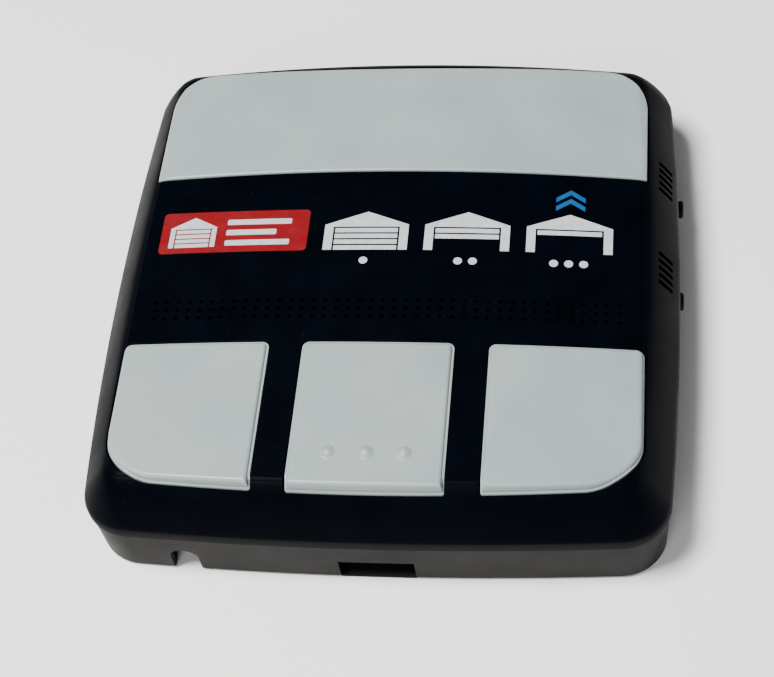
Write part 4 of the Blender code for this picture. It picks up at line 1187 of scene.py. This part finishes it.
def door_picture(middle, base, width, height, slats):
    """A house front with a door opening and some door slats hanging in it."""
    half = width / 2
    eaves = height * EAVES_SHARE
    frame_width = width * FRAME_SHARE
    door_top = base + eaves - frame_width * LINTEL_SHARE
    left, right = middle - half + frame_width, middle + half - frame_width
    house = [
        (middle - half, base),
        (left, base),
        (left, door_top),
        (right, door_top),
        (right, base),
        (middle + half, base),
        (middle + half, base + eaves),
        (middle, base + height),
        (middle - half, base + eaves),
    ]
    outlines = [house]
    pitch = (door_top - base) / FULL_SLATS
    gap = pitch * SLAT_GAP_SHARE
    for slat in range(slats):
        top = door_top - slat * pitch - gap
        outlines.append(rectangle(left + gap, top - pitch + gap, right - gap, top, 0.12))
    return outlines


def chevron(base):
    """One open arrow head that points towards the lens."""
    left, right = CHEVRON_X - CHEVRON_HALF_WIDTH, CHEVRON_X + CHEVRON_HALF_WIDTH
    return [
        (left, base),
        (CHEVRON_X, base + CHEVRON_RISE),
        (right, base),
        (right, base + CHEVRON_THICKNESS),
        (CHEVRON_X, base + (CHEVRON_RISE + CHEVRON_THICKNESS)),
        (left, base + CHEVRON_THICKNESS),
    ]


def make_prints():
    """Generic pictures in place of printing: a red plate, three doors and an arrow."""
    decal("print_plate", [rectangle(*PLATE, 1.0)], PLATE_LIFT, INK_RED)
    decal("print_plate_door", door_picture(*PLATE_DOOR, FULL_SLATS), PLATE_PICTURE_LIFT, INK_WHITE)
    for index, length in enumerate(BAR_LENGTHS):
        top = BAR_TOP_Y - index * BAR_PITCH
        bar = rectangle(BAR_LEFT_X, top - BAR_WIDTH, BAR_LEFT_X + length, top, 0.3)
        decal(f"print_plate_bar_{index + 1}", [bar], PLATE_PICTURE_LIFT, INK_WHITE)
    for index, slats in enumerate(DOOR_SLATS):
        middle = DOOR_FIRST_X + index * DOOR_PITCH
        house = door_picture(middle, DOOR_BASE_Y, DOOR_WIDTH, DOOR_HEIGHT, slats)
        decal(f"print_door_{index + 1}", house, PICTURE_LIFT, INK_WHITE)
        for dot in range(index + 1):
            place = (middle + (dot - index / 2) * PRINTED_DOT_PITCH, PRINTED_DOT_Y)
            spot = circle(place, PRINTED_DOT_RADIUS, PRINTED_DOT_STEPS)
            decal(f"print_dot_{index + 1}_{dot + 1}", [spot], PICTURE_LIFT, INK_WHITE)
    for index in range(2):
        arrow = chevron(CHEVRON_BASE_Y + index * CHEVRON_PITCH)
        decal(f"print_arrow_{index + 1}", [arrow], PICTURE_LIFT, INK_BLUE)


def make_shoulder_marks():
    """Plain bars in place of the lettering that names the two side buttons."""
    for level in SIDE_LEVELS:
        low, high = node_box(f"side_button_{level}")
        base = (low.y + high.y) / 2 + MARK_RISE
        bars = []
        for index in range(MARK_COUNT):
            y = base + index * MARK_PITCH
            bars.append(rectangle(MARK_X[0], y, MARK_X[1], y + MARK_WIDTH, 0.2))
        decal(f"shoulder_marks_{level}", bars, MARK_LIFT, INK_DARK)


# ---------------------------------------------------------------- stage


CAMERA_PLACE = Vector((0.05448, -0.24169, 0.33959))
CAMERA_AIM = Vector((0.00037, -0.01608, 0.02))
CAMERA_ROLL = math.radians(10.413)
CAMERA_LENS = 85.36
FLOOR_SIZE = 6
FLOOR_Z = -0.0002

# Area lights: name, place, aim, size, power and colour, in metres and watts.
LIGHTS = (
    ("ceiling light", (-0.38, -0.16, 1.0), (0, 0, 0), (0.36, 0.36), 30.0, (1.0, 0.98, 0.95)),
    ("front fill", (-0.17, -0.93, 0.71), (0, 0, 0), (0.5, 0.4), 6.0, (1.0, 0.97, 0.93)),
    ("wall fill", (0.9, 0.1, 0.25), (0.08, 0, 0), (0.9, 0.4), 3.5, (0.96, 0.98, 1.0)),
)
ROOM_COLOUR = (0.75, 0.85, 1.0, 1)
ROOM_STRENGTH = 0.03


def make_camera():
    camera = bpy.data.cameras.new("camera")
    camera.lens = CAMERA_LENS
    camera.clip_start = 0.01
    obj = bpy.data.objects.new("camera", camera)
    bpy.context.scene.collection.objects.link(obj)
    look = (CAMERA_AIM - CAMERA_PLACE).to_track_quat("-Z", "Y").to_matrix().to_4x4()
    roll = Matrix.Rotation(-CAMERA_ROLL, 4, "Z")
    obj.matrix_world = Matrix.Translation(CAMERA_PLACE) @ look @ roll
    bpy.context.scene.camera = obj


def make_floor():
    bpy.ops.mesh.primitive_plane_add(size=FLOOR_SIZE, location=(0, 0, FLOOR_Z))
    floor = bpy.context.object
    floor.name = "floor"
    floor.data.materials.append(floor_surface())


def add_light(name, place, aim, size, power, colour):
    light = bpy.data.lights.new(name, "AREA")
    light.shape = "RECTANGLE"
    light.size, light.size_y = size
    light.energy = power
    light.color = colour
    obj = bpy.data.objects.new(name, light)
    bpy.context.scene.collection.objects.link(obj)
    obj.location = place
    obj.rotation_euler = (Vector(aim) - Vector(place)).to_track_quat("-Z", "Y").to_euler()


def make_light():
    for settings in LIGHTS:
        add_light(*settings)
    world = bpy.data.worlds.new("room")
    world.use_nodes = True
    background = world.node_tree.nodes["Background"]
    background.inputs["Color"].default_value = ROOM_COLOUR
    background.inputs["Strength"].default_value = ROOM_STRENGTH
    bpy.context.scene.world = world


make_camera()
make_floor()
make_light()
dress_cad_nodes()
make_cover()
make_lens()
for door in BUTTONS:
    make_button(door)
make_housing()
make_notch_shade_sheet()
for side_level in SIDE_LEVELS:
    make_side_button(side_level)
make_prints()
make_shoulder_marks()
